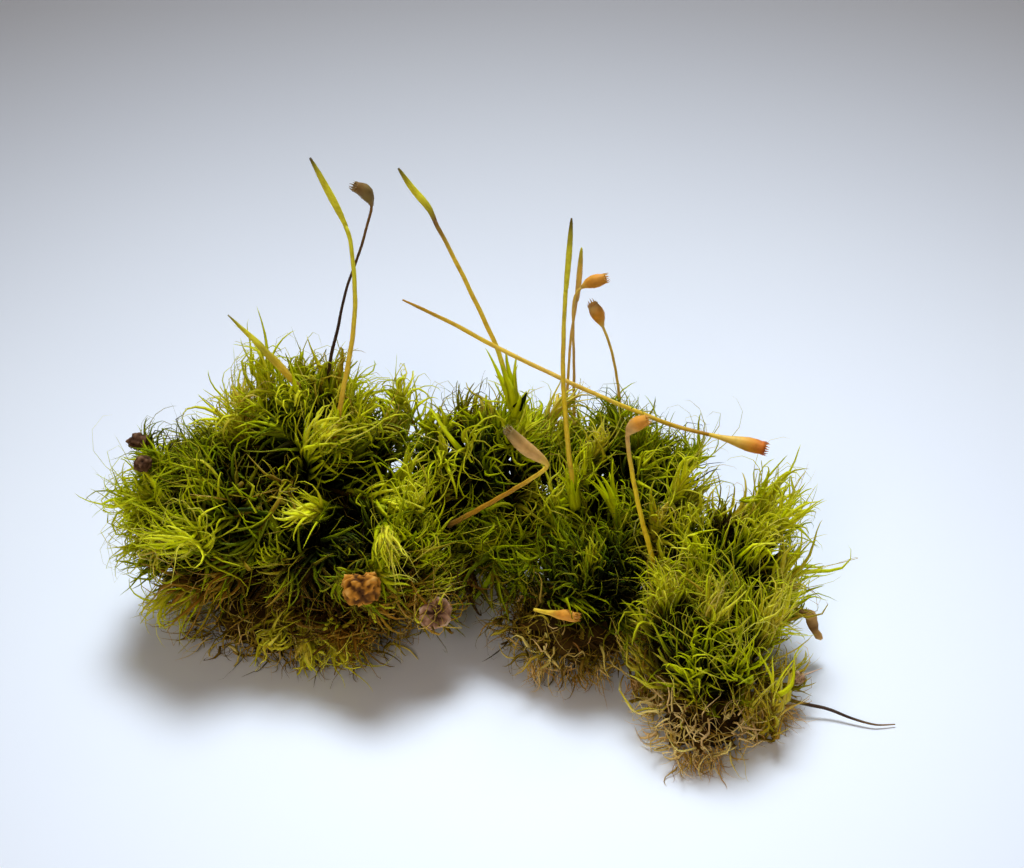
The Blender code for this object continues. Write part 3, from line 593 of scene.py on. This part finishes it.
def add_blades(pile, blades, rings, rng, section=LEAF_SECTION, shares_shown=(0.0, 1.0), in_tuft=True):
    """Leaves or threads. Those in a tuft leave the gaps open and are painted darker inside, as painted
    shade.
    """
    if len(blades["base"]) == 0:
        return
    centres, direction, sideways = centre_lines(blades, rings, rng)
    if in_tuft:
        keep = ~crosses_gap(centres, rng)
        blades = chosen_blades(blades, keep)
        centres, direction, sideways = centres[keep], direction[keep], sideways[keep]
    count = len(centres)
    if count == 0:
        return
    along = np.concatenate([direction[:, :1], unit(direction[:, 1:] + direction[:, :-1])], axis=1)
    across = perpendicular(np.broadcast_to(sideways[:, None], along.shape), along)
    up = np.cross(along, across)
    spin = blades["twist"][:, None] * np.array(rings)
    turned = spokes(across, up, spin)
    raised = spokes(up, -across, spin)
    knots = np.array(LEAF_WIDTHS)
    half = blades["width"][:, None] / 2 * np.interp(rings, knots[:, 0], knots[:, 1])
    corners = (centres[:, :-1, None]
               + turned[:, :, None] * (half[..., None] * section[:, 0])[..., None]
               + raised[:, :, None] * (half[..., None] * section[:, 1])[..., None])
    points = np.concatenate([corners.reshape(count, -1, 3), centres[:, -1:]], axis=1)
    marks = np.empty(points.shape)
    shown = np.append(np.repeat(rings, len(section)), 1.0)
    marks[..., 0] = shares_shown[0] + (shares_shown[1] - shares_shown[0]) * shown
    marks[..., 1] = blades["tone"][:, None]
    if in_tuft:
        # Leaves deeper inside the tufts get painted shade in their tone.
        lit = 1 - smoothstep(*PAINTED_SHADE_DEPTHS, insideness(points))
        marks[..., 1] *= DEEPEST_PAINTED_LIGHT + (1 - DEEPEST_PAINTED_LIGHT) * lit
    marks[..., 2] = blades["age"][:, None]
    pile.add(points, tapering_faces(len(rings), len(section), count), marks)


def chosen_blades(blades, chosen):
    return {key: rows[chosen] for key, rows in blades.items()}


def surface_spots(middle, half_sizes, spacing, rng):
    """Evenly spread points on an ellipsoid and the outward unit vectors there."""
    half = np.array(half_sizes)
    count = int(4 * math.pi * np.mean(half) ** 2 / spacing ** 2)
    number = np.arange(count) + 0.5
    height = 1 - 2 * number / count
    around = GOLDEN_ANGLE * number
    flat = np.sqrt(1 - height ** 2)
    sphere = np.stack([flat * np.cos(around), flat * np.sin(around), height], axis=1)
    sphere = unit(sphere + rng.normal(0, SPOT_SCATTER * spacing / np.mean(half), sphere.shape))
    return np.array(middle) + sphere * half, unit(sphere / half)


def is_inside(points, lump, grown):
    """Whether each point is in a tuft or felt that is grown by this factor."""
    scaled = (points - np.array(lump.middle)) / (np.array(lump.half_sizes) * grown)
    return np.sum(scaled ** 2, axis=1) < 1


def shoot_light(apex, tuft, standing, rng):
    """How light each shoot is. Those that stand out of the tuft are painted lighter and those that stay
    back darker, as painted light and shade, and shoots in the shade places are painted darker.
    """
    light = rng.normal(tuft.light, 0.07, len(apex)) + LIGHT_DRIFT * patches(apex, LIGHT_PATCH, 1)
    light = light + STANDING_PAINTED_LIGHT * standing + LIGHT_GAIN * nearness(apex, LIGHT_PLACES)
    return np.minimum(light - PAINTED_SHADE_LOSS * nearness(apex, PAINTED_SHADE_PLACES), LIGHTEST_SHOOT)


def sweep_ways(apex, tuft, rng):
    """The ways that shoots sweep their leaves, much alike for neighbours."""
    drift = np.stack([patches(apex, SWEEP_PATCH, seed) for seed in (7, 8, 9)], axis=1)
    return unit(np.array(tuft.sweep) + SWEEP_DRIFT * drift + rng.normal(0, 0.4, apex.shape))


def shoot_blades(apex, heading, tuft, leaves, light, size, fresh, rng):
    """The leaves of shoots whose tips are at the given points. They open round each tip, and then
    most of them sweep one way."""
    shoots = len(apex)
    first = perpendicular(rng.normal(0, 1, (shoots, 3)), heading)
    second = np.cross(heading, first)
    sweep_way = sweep_ways(apex, tuft, rng)
    sweep_force = rng.uniform(*SWEEP_FORCES, shoots)
    shoot_size = size * rng.uniform(*SHOOT_SIZES, shoots)
    shoot_age = 0.7 * smoothstep(0.15, 0.55, patches(apex, AGE_PATCH, 3) + rng.normal(0, 0.12, shoots))
    shoot_turn = rng.uniform(*SHOOT_TURNS, shoots)
    is_open = rng.uniform(0, 1, shoots) < OPEN_SHARE
    opening = np.where(is_open, rng.uniform(*OPENED_WIDE, shoots), rng.uniform(*OPENED_LITTLE, shoots))
    owner = np.repeat(np.arange(shoots), leaves)
    number = np.tile(np.arange(leaves), shoots)
    total = len(owner)
    height = ((number + rng.uniform(0, 1, total)) / leaves) ** 0.8
    around = number * GOLDEN_ANGLE + rng.normal(0, 0.3, total)
    radial = spokes(first[owner], second[owner], around)
    at_tip, at_foot = LEAF_ANGLES
    angle = (at_tip + at_foot * (1 - height) ** 0.9) * opening[owner]
    spread = np.radians(angle + rng.normal(0, 9, total))
    axis = heading[owner]
    leaf_heading = spokes(axis, radial, spread)
    back = spokes(radial, -axis, spread)
    base = apex[owner] - axis * (SHOOT_DEPTH * (1 - height))[:, None] + radial * LEAF_FOOT
    pull = (back * rng.uniform(0.0, 0.9, (total, 1)) + rng.normal(0, 0.35, (total, 3))
            + sweep_way[owner] * sweep_force[owner, None])
    is_hair = rng.uniform(0, 1, total) < HAIR_SHARE
    # Leaves are longest a little above the middle of their shoot.
    length = LEAF_LENGTH * shoot_size[owner] * rng.uniform(0.7, 1.2, total)
    length = length * (0.75 + 0.35 * np.sin(math.pi * height ** 1.3)) * np.where(is_hair, HAIR_LENGTH, 1)
    # They are old low down, at their shoot's foot, on old shoots and in the withered places.
    low = 1 - smoothstep(tuft.old_below - 1.2, tuft.old_below + 1.0,
                         base[:, 2] + 0.9 * patches(base, 1.4, 2))
    age = 0.85 * low * rng.uniform(0.4, 1.0, total) + shoot_age[owner] * rng.uniform(0.2, 1.0, total)
    age = age + 0.5 * (height < 0.12) * rng.uniform(0, 1, total) + np.where(is_hair, HAIR_AGE, 0.0)
    withered = nearness(base, OLD_PLACES) * (height < rng.uniform(0.7, 1.5, total))
    age = (age + withered) * (FRESH_AGE if fresh else 1.0) + np.clip(rng.normal(0.05, 0.1, total), 0, 1)
    tone = light[owner] * (0.7 + 0.35 * height) + rng.normal(0, 0.08, total)
    tone = tone - (0.0 if fresh else WITHERED_LOSS) * withered
    width = LEAF_WIDTH * rng.uniform(0.6, 1.2, total) * np.where(is_hair, HAIR_WIDTH, 1.0)
    turn = np.abs(rng.normal(1.6, 0.6, total)) * shoot_turn[owner] * tuft.curl
    hook = tuft.curl * rng.normal(0.8, 1.5, total)
    hook = hook + np.where(is_hair, rng.uniform(0, HAIR_HOOK, total), 0)
    blades = blade_rows(
        base, leaf_heading, rng, length, width, np.clip(tone, 0.03, 1), np.clip(age, 0, 1), bend_to=pull,
        turn=turn, hook=hook, wave=np.abs(rng.normal(0, 0.5, total)), twist=rng.normal(0, 0.9, total))
    return blades, height, is_hair


def add_shoots(pile, apex, heading, tuft, leaves, light, rng, size=None, fresh=False, is_inner=False):
    """Shoots with their stems and leaves."""
    if len(apex) == 0:
        return
    if size is None:
        size = tuft.leaf_size
    blades, height, is_hair = shoot_blades(apex, heading, tuft, leaves, light, size, fresh, rng)
    is_fine = ((height > FINE_ABOVE) | is_hair) & (not is_inner)
    is_rough = ~is_fine & ((height < ROUGH_BELOW) | is_inner)
    for chosen, rings in ((is_fine, FINE_RINGS), (is_rough, ROUGH_RINGS),
                          (~is_fine & ~is_rough, PLAIN_RINGS)):
        add_blades(pile, chosen_blades(blades, chosen), rings, rng)
    stems = blade_rows(apex - heading * STEM_LENGTH, heading, rng, STEM_LENGTH, STEM_WIDTH, STEM_TONE,
                       STEM_AGE)
    add_blades(pile, stems, ROUGH_RINGS, rng, THREAD_SECTION)


def free_of_others(points, name, grown):
    """Whether each point is outside all other tufts, which are grown by this factor."""
    keep = np.ones(len(points), bool)
    for other, tuft in TUFTS.items():
        if other != name:
            keep &= ~is_inside(points, tuft, grown)
    return keep


def shoot_heading(feet, outward, lean, rng):
    """Outward, leaning the tuft's way, and with a drift that neighbours share."""
    drift = np.stack([patches(feet, LEAN_PATCH, seed) for seed in (12, 13, 14)], axis=1)
    scatter = rng.normal(0, 0.3, outward.shape)
    return unit(outward * 0.6 + np.array(lean) + LEAN_DRIFT * drift + scatter)


def add_sheath(pile, sheath, rng):
    """Broad upright leaves round a stalk's foot."""
    way = unit(np.array(sheath.way, float))
    around = np.arange(sheath.leaves) * GOLDEN_ANGLE
    first = perpendicular(np.array((0.2, 1.0, 0.1)), way)
    radial = spokes(first, np.cross(way, first), around)
    base = np.array(sheath.foot) - way * 0.6 + radial * 0.14
    lengths = sheath.length * rng.uniform(0.7, 1.1, sheath.leaves)
    blades = blade_rows(base, unit(way + radial * 0.06), rng, lengths, SHEATH_WIDTH, sheath.tone, 0.05,
                        bend_to=radial, turn=rng.uniform(0.0, 0.35, sheath.leaves), hook=0.4,
                        wave=0.1, twist=0.3)
    add_blades(pile, blades, FINE_RINGS, rng, in_tuft=False)


def add_outer_shoots(pile, name, tuft, rng):
    feet, outward = surface_spots(tuft.middle, tuft.half_sizes, SHOOT_SPACING, rng)
    keep = free_of_others(feet, name, OVERLAP) & (feet[:, 2] > LOWEST_FOOT)
    keep &= nearness(feet, HOLLOWS) < 0.3
    for felt in ROOT_FELTS.values():
        keep &= ~is_inside(feet, felt, 1.0)
    own_standing = rng.normal(0, 0.8, len(feet))
    standing = np.clip(own_standing + STANDING_DRIFT * patches(feet, STANDING_PATCH, 11), -2, 2)
    apex = feet - outward * (tuft.depth - STANDING_OUT * standing)[:, None]
    heading = shoot_heading(feet, outward, tuft.lean, rng)
    light = shoot_light(apex, tuft, standing, rng)
    add_shoots(pile, apex[keep], heading[keep], tuft, LEAVES_PER_SHOOT, light[keep], rng)


def add_inner_shoots(pile, name, tuft, rng):
    """Plainer shoots that close the tuft inside."""
    inner_sizes = np.array(tuft.half_sizes) * INNER_SHARE
    feet, outward = surface_spots(tuft.middle, inner_sizes, INNER_SPACING, rng)
    keep = free_of_others(feet, name, INNER_SHARE) & (feet[:, 2] > LOWEST_INNER_FOOT)
    keep &= rng.uniform(0, 1, len(feet)) < tuft.inner
    heading = shoot_heading(feet, outward, tuft.lean, rng)
    light = shoot_light(feet, tuft, 0.0, rng)
    add_shoots(pile, feet[keep], heading[keep], tuft, INNER_LEAVES, light[keep], rng, is_inner=True)


def add_tufts(material):
    for index, (name, tuft) in enumerate(TUFTS.items()):
        rng = np.random.default_rng(TUFT_SEED + index)
        pile = Pile()
        add_outer_shoots(pile, name, tuft, rng)
        add_inner_shoots(pile, name, tuft, rng)
        for tip, way, size, light, fresh in LONE_SHOOTS.get(name, ()):
            add_shoots(pile, np.array([tip]), unit(np.array([way], float)), tuft, LEAVES_PER_SHOOT,
                       np.array([light]), rng, size, fresh)
        for sheath in SHEATHS.get(name, ()):
            add_sheath(pile, sheath, rng)
        pile.build(name.replace("tuft", "moss"), material, [name])


def add_rough_ball(pile, middle, half_sizes, turn, roughness, bumps, pattern, tone, tone_gain, age,
                   hollow=None, is_angular=False):
    """A rough lump that is lighter where it is higher, with a dent where the hollow faces, which is
    painted darker as painted shade. An angular one has upright streaks."""
    shape = bmesh.new()
    bmesh.ops.create_icosphere(shape, subdivisions=LUMP_SUBDIVISIONS, radius=1.0)
    offset = Vector((pattern * 7.3, pattern * 1.7, 3.1))
    points = []
    reliefs = []
    facing = Vector(hollow).normalized() if hollow else None
    for vertex in shape.verts:
        x, y, z = vertex.co
        spot = Vector((x, y, z * (STREAKS if is_angular else 1.0))) * bumps
        relief = noise.noise(spot + offset)
        relief += 0.5 * abs(noise.noise(spot * 2.3 + offset)) - 0.2
        relief += 0.35 * noise.noise(spot * 5.1 + offset)
        swell = 1 + roughness * relief
        if is_angular:
            swell /= sum(abs(part) ** CORNERS for part in vertex.co) ** (1 / CORNERS)
        if facing:
            dent = max(0.0, min(1.0, (vertex.co.dot(facing) - 0.35) / 0.5))
            swell *= 1 - 0.85 * dent * dent * (3 - 2 * dent)
            # The dent is painted darker, as painted shade in the hollow.
            relief -= 1.2 * dent
        points.append(vertex.co * swell)
        reliefs.append(relief)
    faces = [[vertex.index for vertex in face.verts] for face in shape.faces]
    shape.free()
    points = np.array(points) * np.array(half_sizes)
    cos, sin = math.cos(turn), math.sin(turn)
    turned = points @ np.array(((cos, sin, 0), (-sin, cos, 0), (0, 0, 1)))
    marks = np.full((len(points), 3), 0.5)
    marks[:, 1] = tone + tone_gain * np.array(reliefs)
    marks[:, 2] = age
    pile.add(turned + np.array(middle), [faces], marks)


def add_felt_layer(pile, felt, share, tone, rng):
    """Curled old leaves and root threads that start on an ellipsoid inside the felt."""
    feet, outward = surface_spots(felt.middle, np.array(felt.half_sizes) * share, FELT_SPACING, rng)
    keep = (feet[:, 2] > 0.05) & (insideness(feet) < 0.2)
    feet, outward = feet[keep], outward[keep]
    count = len(feet)
    heading = unit(outward * 0.5 + rng.normal(0, 0.65, (count, 3)))
    is_leaf = rng.uniform(0, 1, count) < FELT_LEAF_SHARE
    own_tone = tone * felt.tone * rng.uniform(0.3, 1.8, count) + 0.25 * patches(feet, 1.2, 4)
    own_age = felt.age + rng.normal(0, 0.22, count) + 0.3 * patches(feet, 1.5, 5)
    threads = blade_rows(
        feet, heading, rng, rng.uniform(*FELT_LENGTHS, count),
        np.where(is_leaf, rng.uniform(*FELT_LEAF_WIDTHS, count), rng.uniform(*ROOT_WIDTHS, count)),
        np.clip(own_tone, 0.04, 1), np.clip(own_age, 0, 1), turn=rng.uniform(0.4, 2.6, count),
        hook=rng.normal(0, 1.3, count), wave=rng.uniform(0, 0.9, count),
        twist=rng.normal(0, 1.0, count))
    add_blades(pile, threads, PLAIN_RINGS, rng, in_tuft=False)


def add_hanging_threads(pile, hanging, rng):
    count = hanging.threads
    scatter = np.clip(rng.normal(0, 1, (count, 3)), -1.4, 1.4) * (1.0, 0.5, 0.4)
    start = np.array(hanging.place) + scatter * hanging.spread / 2
    start[:, 2] = np.abs(start[:, 2])
    heading = unit(np.array(hanging.way) + rng.normal(0, 0.4, (count, 3)))
    threads = blade_rows(
        start, heading, rng, hanging.length * rng.uniform(0.5, 1.3, count),
        rng.uniform(*HANGING_WIDTHS, count), hanging.tone * rng.uniform(0.6, 1.3, count),
        rng.uniform(0.5, 1.0, count), turn=rng.uniform(0, 1.8, count), hook=rng.normal(0, 1, count),
        wave=rng.uniform(0, 0.8, count))
    add_blades(pile, threads, PLAIN_RINGS, rng, THREAD_SECTION, in_tuft=False)


def add_felts(material):
    for index, (name, felt) in enumerate(ROOT_FELTS.items()):
        rng = np.random.default_rng(FELT_SEED + index)
        pile = Pile()
        # The lump stands for packed threads inside the felt, and its dark tone is painted shade between
        # them.
        add_rough_ball(pile, felt.middle, np.array(felt.half_sizes) * FELT_CORE, turn=0.0, roughness=0.4,
                       bumps=3.0, pattern=FELT_PATTERN + index, tone=0.1, tone_gain=0.15, age=0.8)
        for share, tone in FELT_LAYERS:
            add_felt_layer(pile, felt, share, tone, rng)
        for hanging in HANGING_THREADS[name]:
            add_hanging_threads(pile, hanging, rng)
        pile.build(name + "_threads", material, [name])


def smooth_path(knots, steps=10):
    """Points on a smooth curve through the knots."""
    knots = [np.array(knot, float) for knot in knots]
    ends = [2 * knots[0] - knots[1]] + knots + [2 * knots[-1] - knots[-2]]
    points = []
    for before, start, end, after in zip(ends, ends[1:], ends[2:], ends[3:]):
        for step in range(steps):
            t = step / steps
            points.append(0.5 * (2 * start + (end - before) * t
                                 + (2 * before - 5 * start + 4 * end - after) * t ** 2
                                 + (3 * start - before - 3 * end + after) * t ** 3))
    return np.array(points + [knots[-1]])


class Path:
    """A smooth path with a steady sideways direction all along it."""

    def __init__(self, points):
        self.points = points
        runs = np.linalg.norm(np.diff(points, axis=0), axis=1)
        self.length = runs.sum()
        self.shares = np.append(0, np.cumsum(runs)) / self.length
        self.along = unit(np.gradient(points, axis=0))
        side = perpendicular(np.array((0.31, 0.17, 0.93)), self.along[0])
        sides = []
        for heading in self.along:
            side = perpendicular(side, heading)
            sides.append(side)
        self.sides = np.array(sides)

    def read(self, rows, shares):
        return np.stack([np.interp(shares, self.shares, rows[:, axis]) for axis in range(3)], axis=1)

    def part(self, start, end):
        shares = np.linspace(start, end, max(12, int(60 * (end - start))))
        return Path(self.read(self.points, shares))


def add_tube(pile, path, profile, tube):
    """A closed tube whose half width follows the profile along the path."""
    sides = tube.sides
    shares = []
    widths = []
    for (low, narrow), (high, wide) in zip(profile, profile[1:]):
        steps = max(1, int(abs(high - low) * path.length / tube.spacing))
        for step in range(steps):
            shares.append(low + (high - low) * step / steps)
            widths.append(narrow + (wide - narrow) * step / steps)
    shares = np.array(shares + [profile[-1][0]])
    widths = np.array(widths + [profile[-1][1]])
    centres = path.read(path.points, shares)
    along = unit(path.read(path.along, shares))
    side = perpendicular(path.read(path.sides, shares), along)
    other = np.cross(along, side)
    around = 2 * math.pi * np.arange(sides) / sides
    wobble = 1 + tube.rib_depth * np.cos(tube.ribs * (around[None] + tube.twist * shares[:, None]))
    half = (widths[:, None] * wobble)[..., None]
    rings = centres[:, None] + spokes(side[:, None], other[:, None], around) * half
    count = len(shares)
    points = np.concatenate([rings.reshape(-1, 3), centres[:1], centres[-1:]])
    first, last = count * sides, count * sides + 1
    start = (count - 1) * sides
    caps = [(first, (number + 1) % sides, number) for number in range(sides)]
    caps += [(last, start + number, start + (number + 1) % sides) for number in range(sides)]
    marks = np.full((len(points), 3), 0.5)
    marks[:, 0] = np.concatenate([np.repeat(shares, sides), shares[:1], shares[-1:]])
    pile.add(points, [ring_faces(count, sides), np.array(caps)], marks)


def add_teeth(pile, path, profile, teeth, rng):
    """Pointed teeth round an open mouth at the path's end."""
    radius = [half for share, half in profile if share == 1.0][0]
    around = 2 * math.pi * np.arange(teeth) / teeth
    along = path.along[-1]
    side = path.sides[-1]
    radial = spokes(side, np.cross(along, side), around)
    base = path.points[-1] + radial * radius * TOOTH_RING - along * TOOTH_ROOT
    heading = unit(along + radial * rng.uniform(-0.15, 0.3, (teeth, 1)))
    blades = blade_rows(base, heading, rng, rng.uniform(*TOOTH_LENGTHS, teeth), radius * TOOTH_WIDTH,
                        0.5, 0.0, bend_to=-radial, turn=rng.uniform(0.1, 0.9, teeth), wave=0.1)
    add_blades(pile, blades, ROUGH_RINGS, rng, shares_shown=(1.0, 1.0), in_tuft=False)


def add_swept(name, path, profile, tube, teeth, material, rng):
    """A tube along a path, with teeth at its mouth if it has any."""
    pile = Pile()
    add_tube(pile, path, profile, tube)
    if teeth:
        add_teeth(pile, path, profile, teeth, rng)
    pile.build(name + "_skin", material, [name])


def add_spore_stalks():
    for index, (name, stalk) in enumerate(SPORE_STALKS.items()):
        rng = np.random.default_rng(STALK_SEED + index)
        path = Path(smooth_path(stalk.path))
        add_swept(name, path.part(0.0, stalk.parted + STALK_LAP), stalk.widths, STALK_TUBE, 0,
                  ramp_material(name, stalk.colours, STALK_ROUGHNESS), rng)
        add_swept(stalk.top, path.part(stalk.parted, 1.0), stalk.top_widths,
                  CAPSULE_TUBE if stalk.teeth else HOOD_TUBE, stalk.teeth,
                  ramp_material(stalk.top, stalk.top_colours, TOP_ROUGHNESS), rng)


def add_slender_pieces():
    for index, (name, piece) in enumerate(SLENDER_PIECES.items()):
        rng = np.random.default_rng(SLENDER_SEED + index)
        add_swept(name, Path(smooth_path(piece.path)), piece.widths, SLENDER_TUBE, piece.teeth,
                  ramp_material(name, piece.colours, SLENDER_ROUGHNESS), rng)


def add_scraps(materials):
    for index, (name, scrap) in enumerate(SCRAPS.items()):
        rng = np.random.default_rng(SCRAP_SEED + index)
        pile = Pile()
        add_rough_ball(pile, scrap.middle, scrap.half_sizes, scrap.turn, scrap.roughness, scrap.bumps,
                       SCRAP_PATTERN + index, SCRAP_TONE, SCRAP_TONE_GAIN, 0.5, scrap.hollow,
                       scrap.is_angular)
        if name in SCRAP_POINTS:
            way, length, width = SCRAP_POINTS[name]
            point = blade_rows(np.array([scrap.middle]), unit(np.array([way])), rng, length, width,
                               0.9, 0.6)
            add_blades(pile, point, FINE_RINGS, rng, in_tuft=False)
        pile.build(name + "_skin", materials[scrap.kind], [name])


def colour_ramp(tree, factor, stops):
    node = tree.nodes.new("ShaderNodeValToRGB")
    while len(node.color_ramp.elements) < len(stops):
        node.color_ramp.elements.new(0.5)
    for element, (place, colour) in zip(node.color_ramp.elements, stops):
        element.position = place
        element.color = (*colour, 1.0)
    tree.links.new(factor, node.inputs[0])
    return node.outputs[0]


def connect(tree, node, values):
    """Gives each input a value of its own or another node's output."""
    for key, value in values.items():
        if isinstance(value, bpy.types.NodeSocket):
            tree.links.new(value, node.inputs[key])
        else:
            node.inputs[key].default_value = value


def mixed(tree, factor, one, two, blend="MIX"):
    node = tree.nodes.new("ShaderNodeMix")
    node.data_type = "RGBA"
    node.blend_type = blend
    connect(tree, node, {0: factor, 6: one, 7: two})
    return node.outputs[2]


def maths(tree, operation, one, two, clamp=False):
    node = tree.nodes.new("ShaderNodeMath")
    node.operation = operation
    node.use_clamp = clamp
    connect(tree, node, {0: one, 1: two})
    return node.outputs[0]


def spread_about(tree, value, middle, gain):
    """The value less its middle, times the gain."""
    return maths(tree, "MULTIPLY", maths(tree, "SUBTRACT", value, middle), gain)


def noise_value(tree, scale, detail):
    """Noise from 0 to 1, with so many waves to a metre."""
    place = tree.nodes.new("ShaderNodeTexCoord")
    node = tree.nodes.new("ShaderNodeTexNoise")
    connect(tree, node, {"Scale": scale, "Detail": detail, "Vector": place.outputs["Object"]})
    return node.outputs["Fac"]


def new_material(name):
    """A material, its tree, its shader and the three marks of a point."""
    material = bpy.data.materials.new(name)
    material.use_nodes = True
    tree = material.node_tree
    marks = tree.nodes.new("ShaderNodeVertexColor")
    marks.layer_name = "marks"
    parts = tree.nodes.new("ShaderNodeSeparateColor")
    tree.links.new(marks.outputs["Color"], parts.inputs[0])
    return material, tree, tree.nodes["Principled BSDF"], parts.outputs


def finish_shader(tree, shader, colour, grain, roughness, specular, bump, glow):
    """Glow is how much light passes through."""
    rough = colour_ramp(tree, grain, ((0.3, (roughness - 0.08,) * 3), (0.7, (roughness + 0.12,) * 3)))
    relief = tree.nodes.new("ShaderNodeBump")
    connect(tree, relief, {"Strength": bump, "Distance": BUMP_HEIGHT, "Height": grain})
    connect(tree, shader, {"Base Color": colour, "Roughness": rough, "Normal": relief.outputs[0],
                           "Specular IOR Level": specular, "Subsurface Weight": glow,
                           "Subsurface Radius": LIGHT_THROUGH, "Subsurface Scale": LIGHT_THROUGH_REACH})


def marked_material(name, fresh, old, roughness, glow=0.0):
    """The tone picks a colour from each ramp, and the age picks between the two. A patchy noise and
    the grain vary the tone, and it falls a little towards the tip."""
    material, tree, shader, marks = new_material(name)
    grain = noise_value(tree, GRAIN, 2.0)
    shift = maths(tree, "ADD", spread_about(tree, noise_value(tree, MARKED_BLOTCHES, 3.0), 0.5, 0.45),
                  spread_about(tree, grain, 0.5, 0.2))
    factor = maths(tree, "ADD", maths(tree, "ADD", shift, spread_about(tree, marks[0], 0.4, -0.1)), 1.0)
    tone = maths(tree, "MULTIPLY", marks[1], factor, clamp=True)
    colour = mixed(tree, marks[2], colour_ramp(tree, tone, fresh), colour_ramp(tree, tone, old))
    finish_shader(tree, shader, colour, grain, roughness, 0.06, 0.2, glow)
    return material


def ramp_material(name, colours, roughness):
    """The share along the piece picks the colour, with darker flecks."""
    material, tree, shader, marks = new_material(name)
    grain = noise_value(tree, GRAIN, 2.0)
    shift = spread_about(tree, noise_value(tree, RAMP_BLOTCHES, 3.0), 0.5, 0.16)
    share = maths(tree, "ADD", marks[0], shift, clamp=True)
    stops = [(number / (len(colours) - 1), colour) for number, colour in enumerate(colours)]
    fleck = colour_ramp(tree, grain, ((0.3, FLECK), (0.55, (1.0, 1.0, 1.0))))
    colour = mixed(tree, 0.5, colour_ramp(tree, share, stops), fleck, blend="MULTIPLY")
    finish_shader(tree, shader, colour, grain, roughness, 0.15, 0.3, STALK_GLOW)
    return material


# The ramps of tones, from dark to light.
MOSS_FRESH = ((0.0, (0.001, 0.002, 0.0)), (0.18, (0.015, 0.026, 0.0)), (0.4, (0.18, 0.24, 0.0)),
              (0.64, (0.6, 0.65, 0.0)), (1.0, (1.0, 0.94, 0.02)))
MOSS_OLD = ((0.0, (0.006, 0.003, 0.0)), (0.25, (0.1, 0.04, 0.003)), (0.55, (0.44, 0.2, 0.015)),
            (1.0, (0.9, 0.57, 0.1)))
FELT_GOLD = ((0.0, (0.01, 0.007, 0.0)), (0.3, (0.18, 0.13, 0.002)), (0.6, (0.55, 0.42, 0.02)),
             (1.0, (0.9, 0.74, 0.18)))
FELT_BROWN = ((0.0, (0.005, 0.003, 0.001)), (0.3, (0.12, 0.045, 0.008)), (0.6, (0.48, 0.22, 0.04)),
              (1.0, (0.95, 0.62, 0.26)))
BARK_ORANGE = ((0.0, (0.012, 0.004, 0.001)), (0.35, (0.13, 0.045, 0.006)), (0.6, (0.6, 0.23, 0.02)),
               (1.0, (0.95, 0.55, 0.13)))
HUSK_PINK = ((0.0, (0.05, 0.02, 0.01)), (0.3, (0.34, 0.17, 0.09)), (0.6, (0.68, 0.4, 0.24)),
             (1.0, (0.9, 0.66, 0.45)))
LUMP_DARK = ((0.0, (0.01, 0.004, 0.002)), (0.5, (0.1, 0.045, 0.02)), (1.0, (0.3, 0.16, 0.08)))


def add_floor():
    bpy.ops.mesh.primitive_plane_add(size=FLOOR_SIZE, location=(0, 0, 0))
    floor = bpy.context.object
    floor.name = "floor"
    material = bpy.data.materials.new("floor")
    material.use_nodes = True
    tree = material.node_tree
    shader = tree.nodes["Principled BSDF"]
    tint = colour_ramp(tree, noise_value(tree, FLOOR_BLOTCHES, 2.0), FLOOR_COLOURS)
    connect(tree, shader, {"Base Color": tint, "Roughness": 0.7, "Specular IOR Level": 0.2})
    floor.data.materials.append(material)


def add_world():
    world = bpy.data.worlds.new("studio")
    bpy.context.scene.world = world
    world.use_nodes = True
    background = world.node_tree.nodes["Background"]
    background.inputs["Color"].default_value = (*WORLD_COLOUR, 1.0)
    background.inputs["Strength"].default_value = WORLD_STRENGTH


def add_light(name, measures):
    data = bpy.data.lights.new(name, "SPOT")
    data.energy = measures.power
    data.color = measures.colour
    data.shadow_soft_size = measures.radius
    data.spot_size = measures.angle
    data.spot_blend = 1.0
    light = bpy.data.objects.new(name, data)
    light.location = measures.place
    way = Vector(measures.aim) - Vector(measures.place)
    light.rotation_euler = way.to_track_quat("-Z", "Y").to_euler()
    bpy.context.scene.collection.objects.link(light)


def add_camera():
    data = bpy.data.cameras.new("camera")
    data.sensor_width = SENSOR_WIDTH
    data.lens = SENSOR_WIDTH * CAMERA_AWAY / (PICTURE_WIDTH * PIXEL_AT_AIM)
    data.clip_start = 0.01
    camera = bpy.data.objects.new("camera", data)
    away = np.array((0.0, -math.cos(CAMERA_RAISED), math.sin(CAMERA_RAISED))) * CAMERA_AWAY
    camera.location = (CAMERA_AIM + TO_ORIGIN + away) * MM
    camera.rotation_euler = (math.pi / 2 - CAMERA_RAISED, 0, 0)
    bpy.context.scene.collection.objects.link(camera)
    bpy.context.scene.camera = camera


bpy.context.scene.view_settings.view_transform = "Standard"
add_tufts(marked_material("moss_leaf", MOSS_FRESH, MOSS_OLD, 0.5, glow=0.3))
add_felts(marked_material("root_felt", FELT_GOLD, FELT_BROWN, 0.7))
add_spore_stalks()
add_slender_pieces()
add_scraps({"bark": marked_material("bark", BARK_ORANGE, BARK_ORANGE, 0.6),
            "husk": marked_material("husk", HUSK_PINK, HUSK_PINK, 0.6),
            "lump": marked_material("lump", LUMP_DARK, LUMP_DARK, 0.7)})
add_floor()
add_world()
add_light("main_light", MAIN_LIGHT)
add_light("fill_light", FILL_LIGHT)
add_camera()
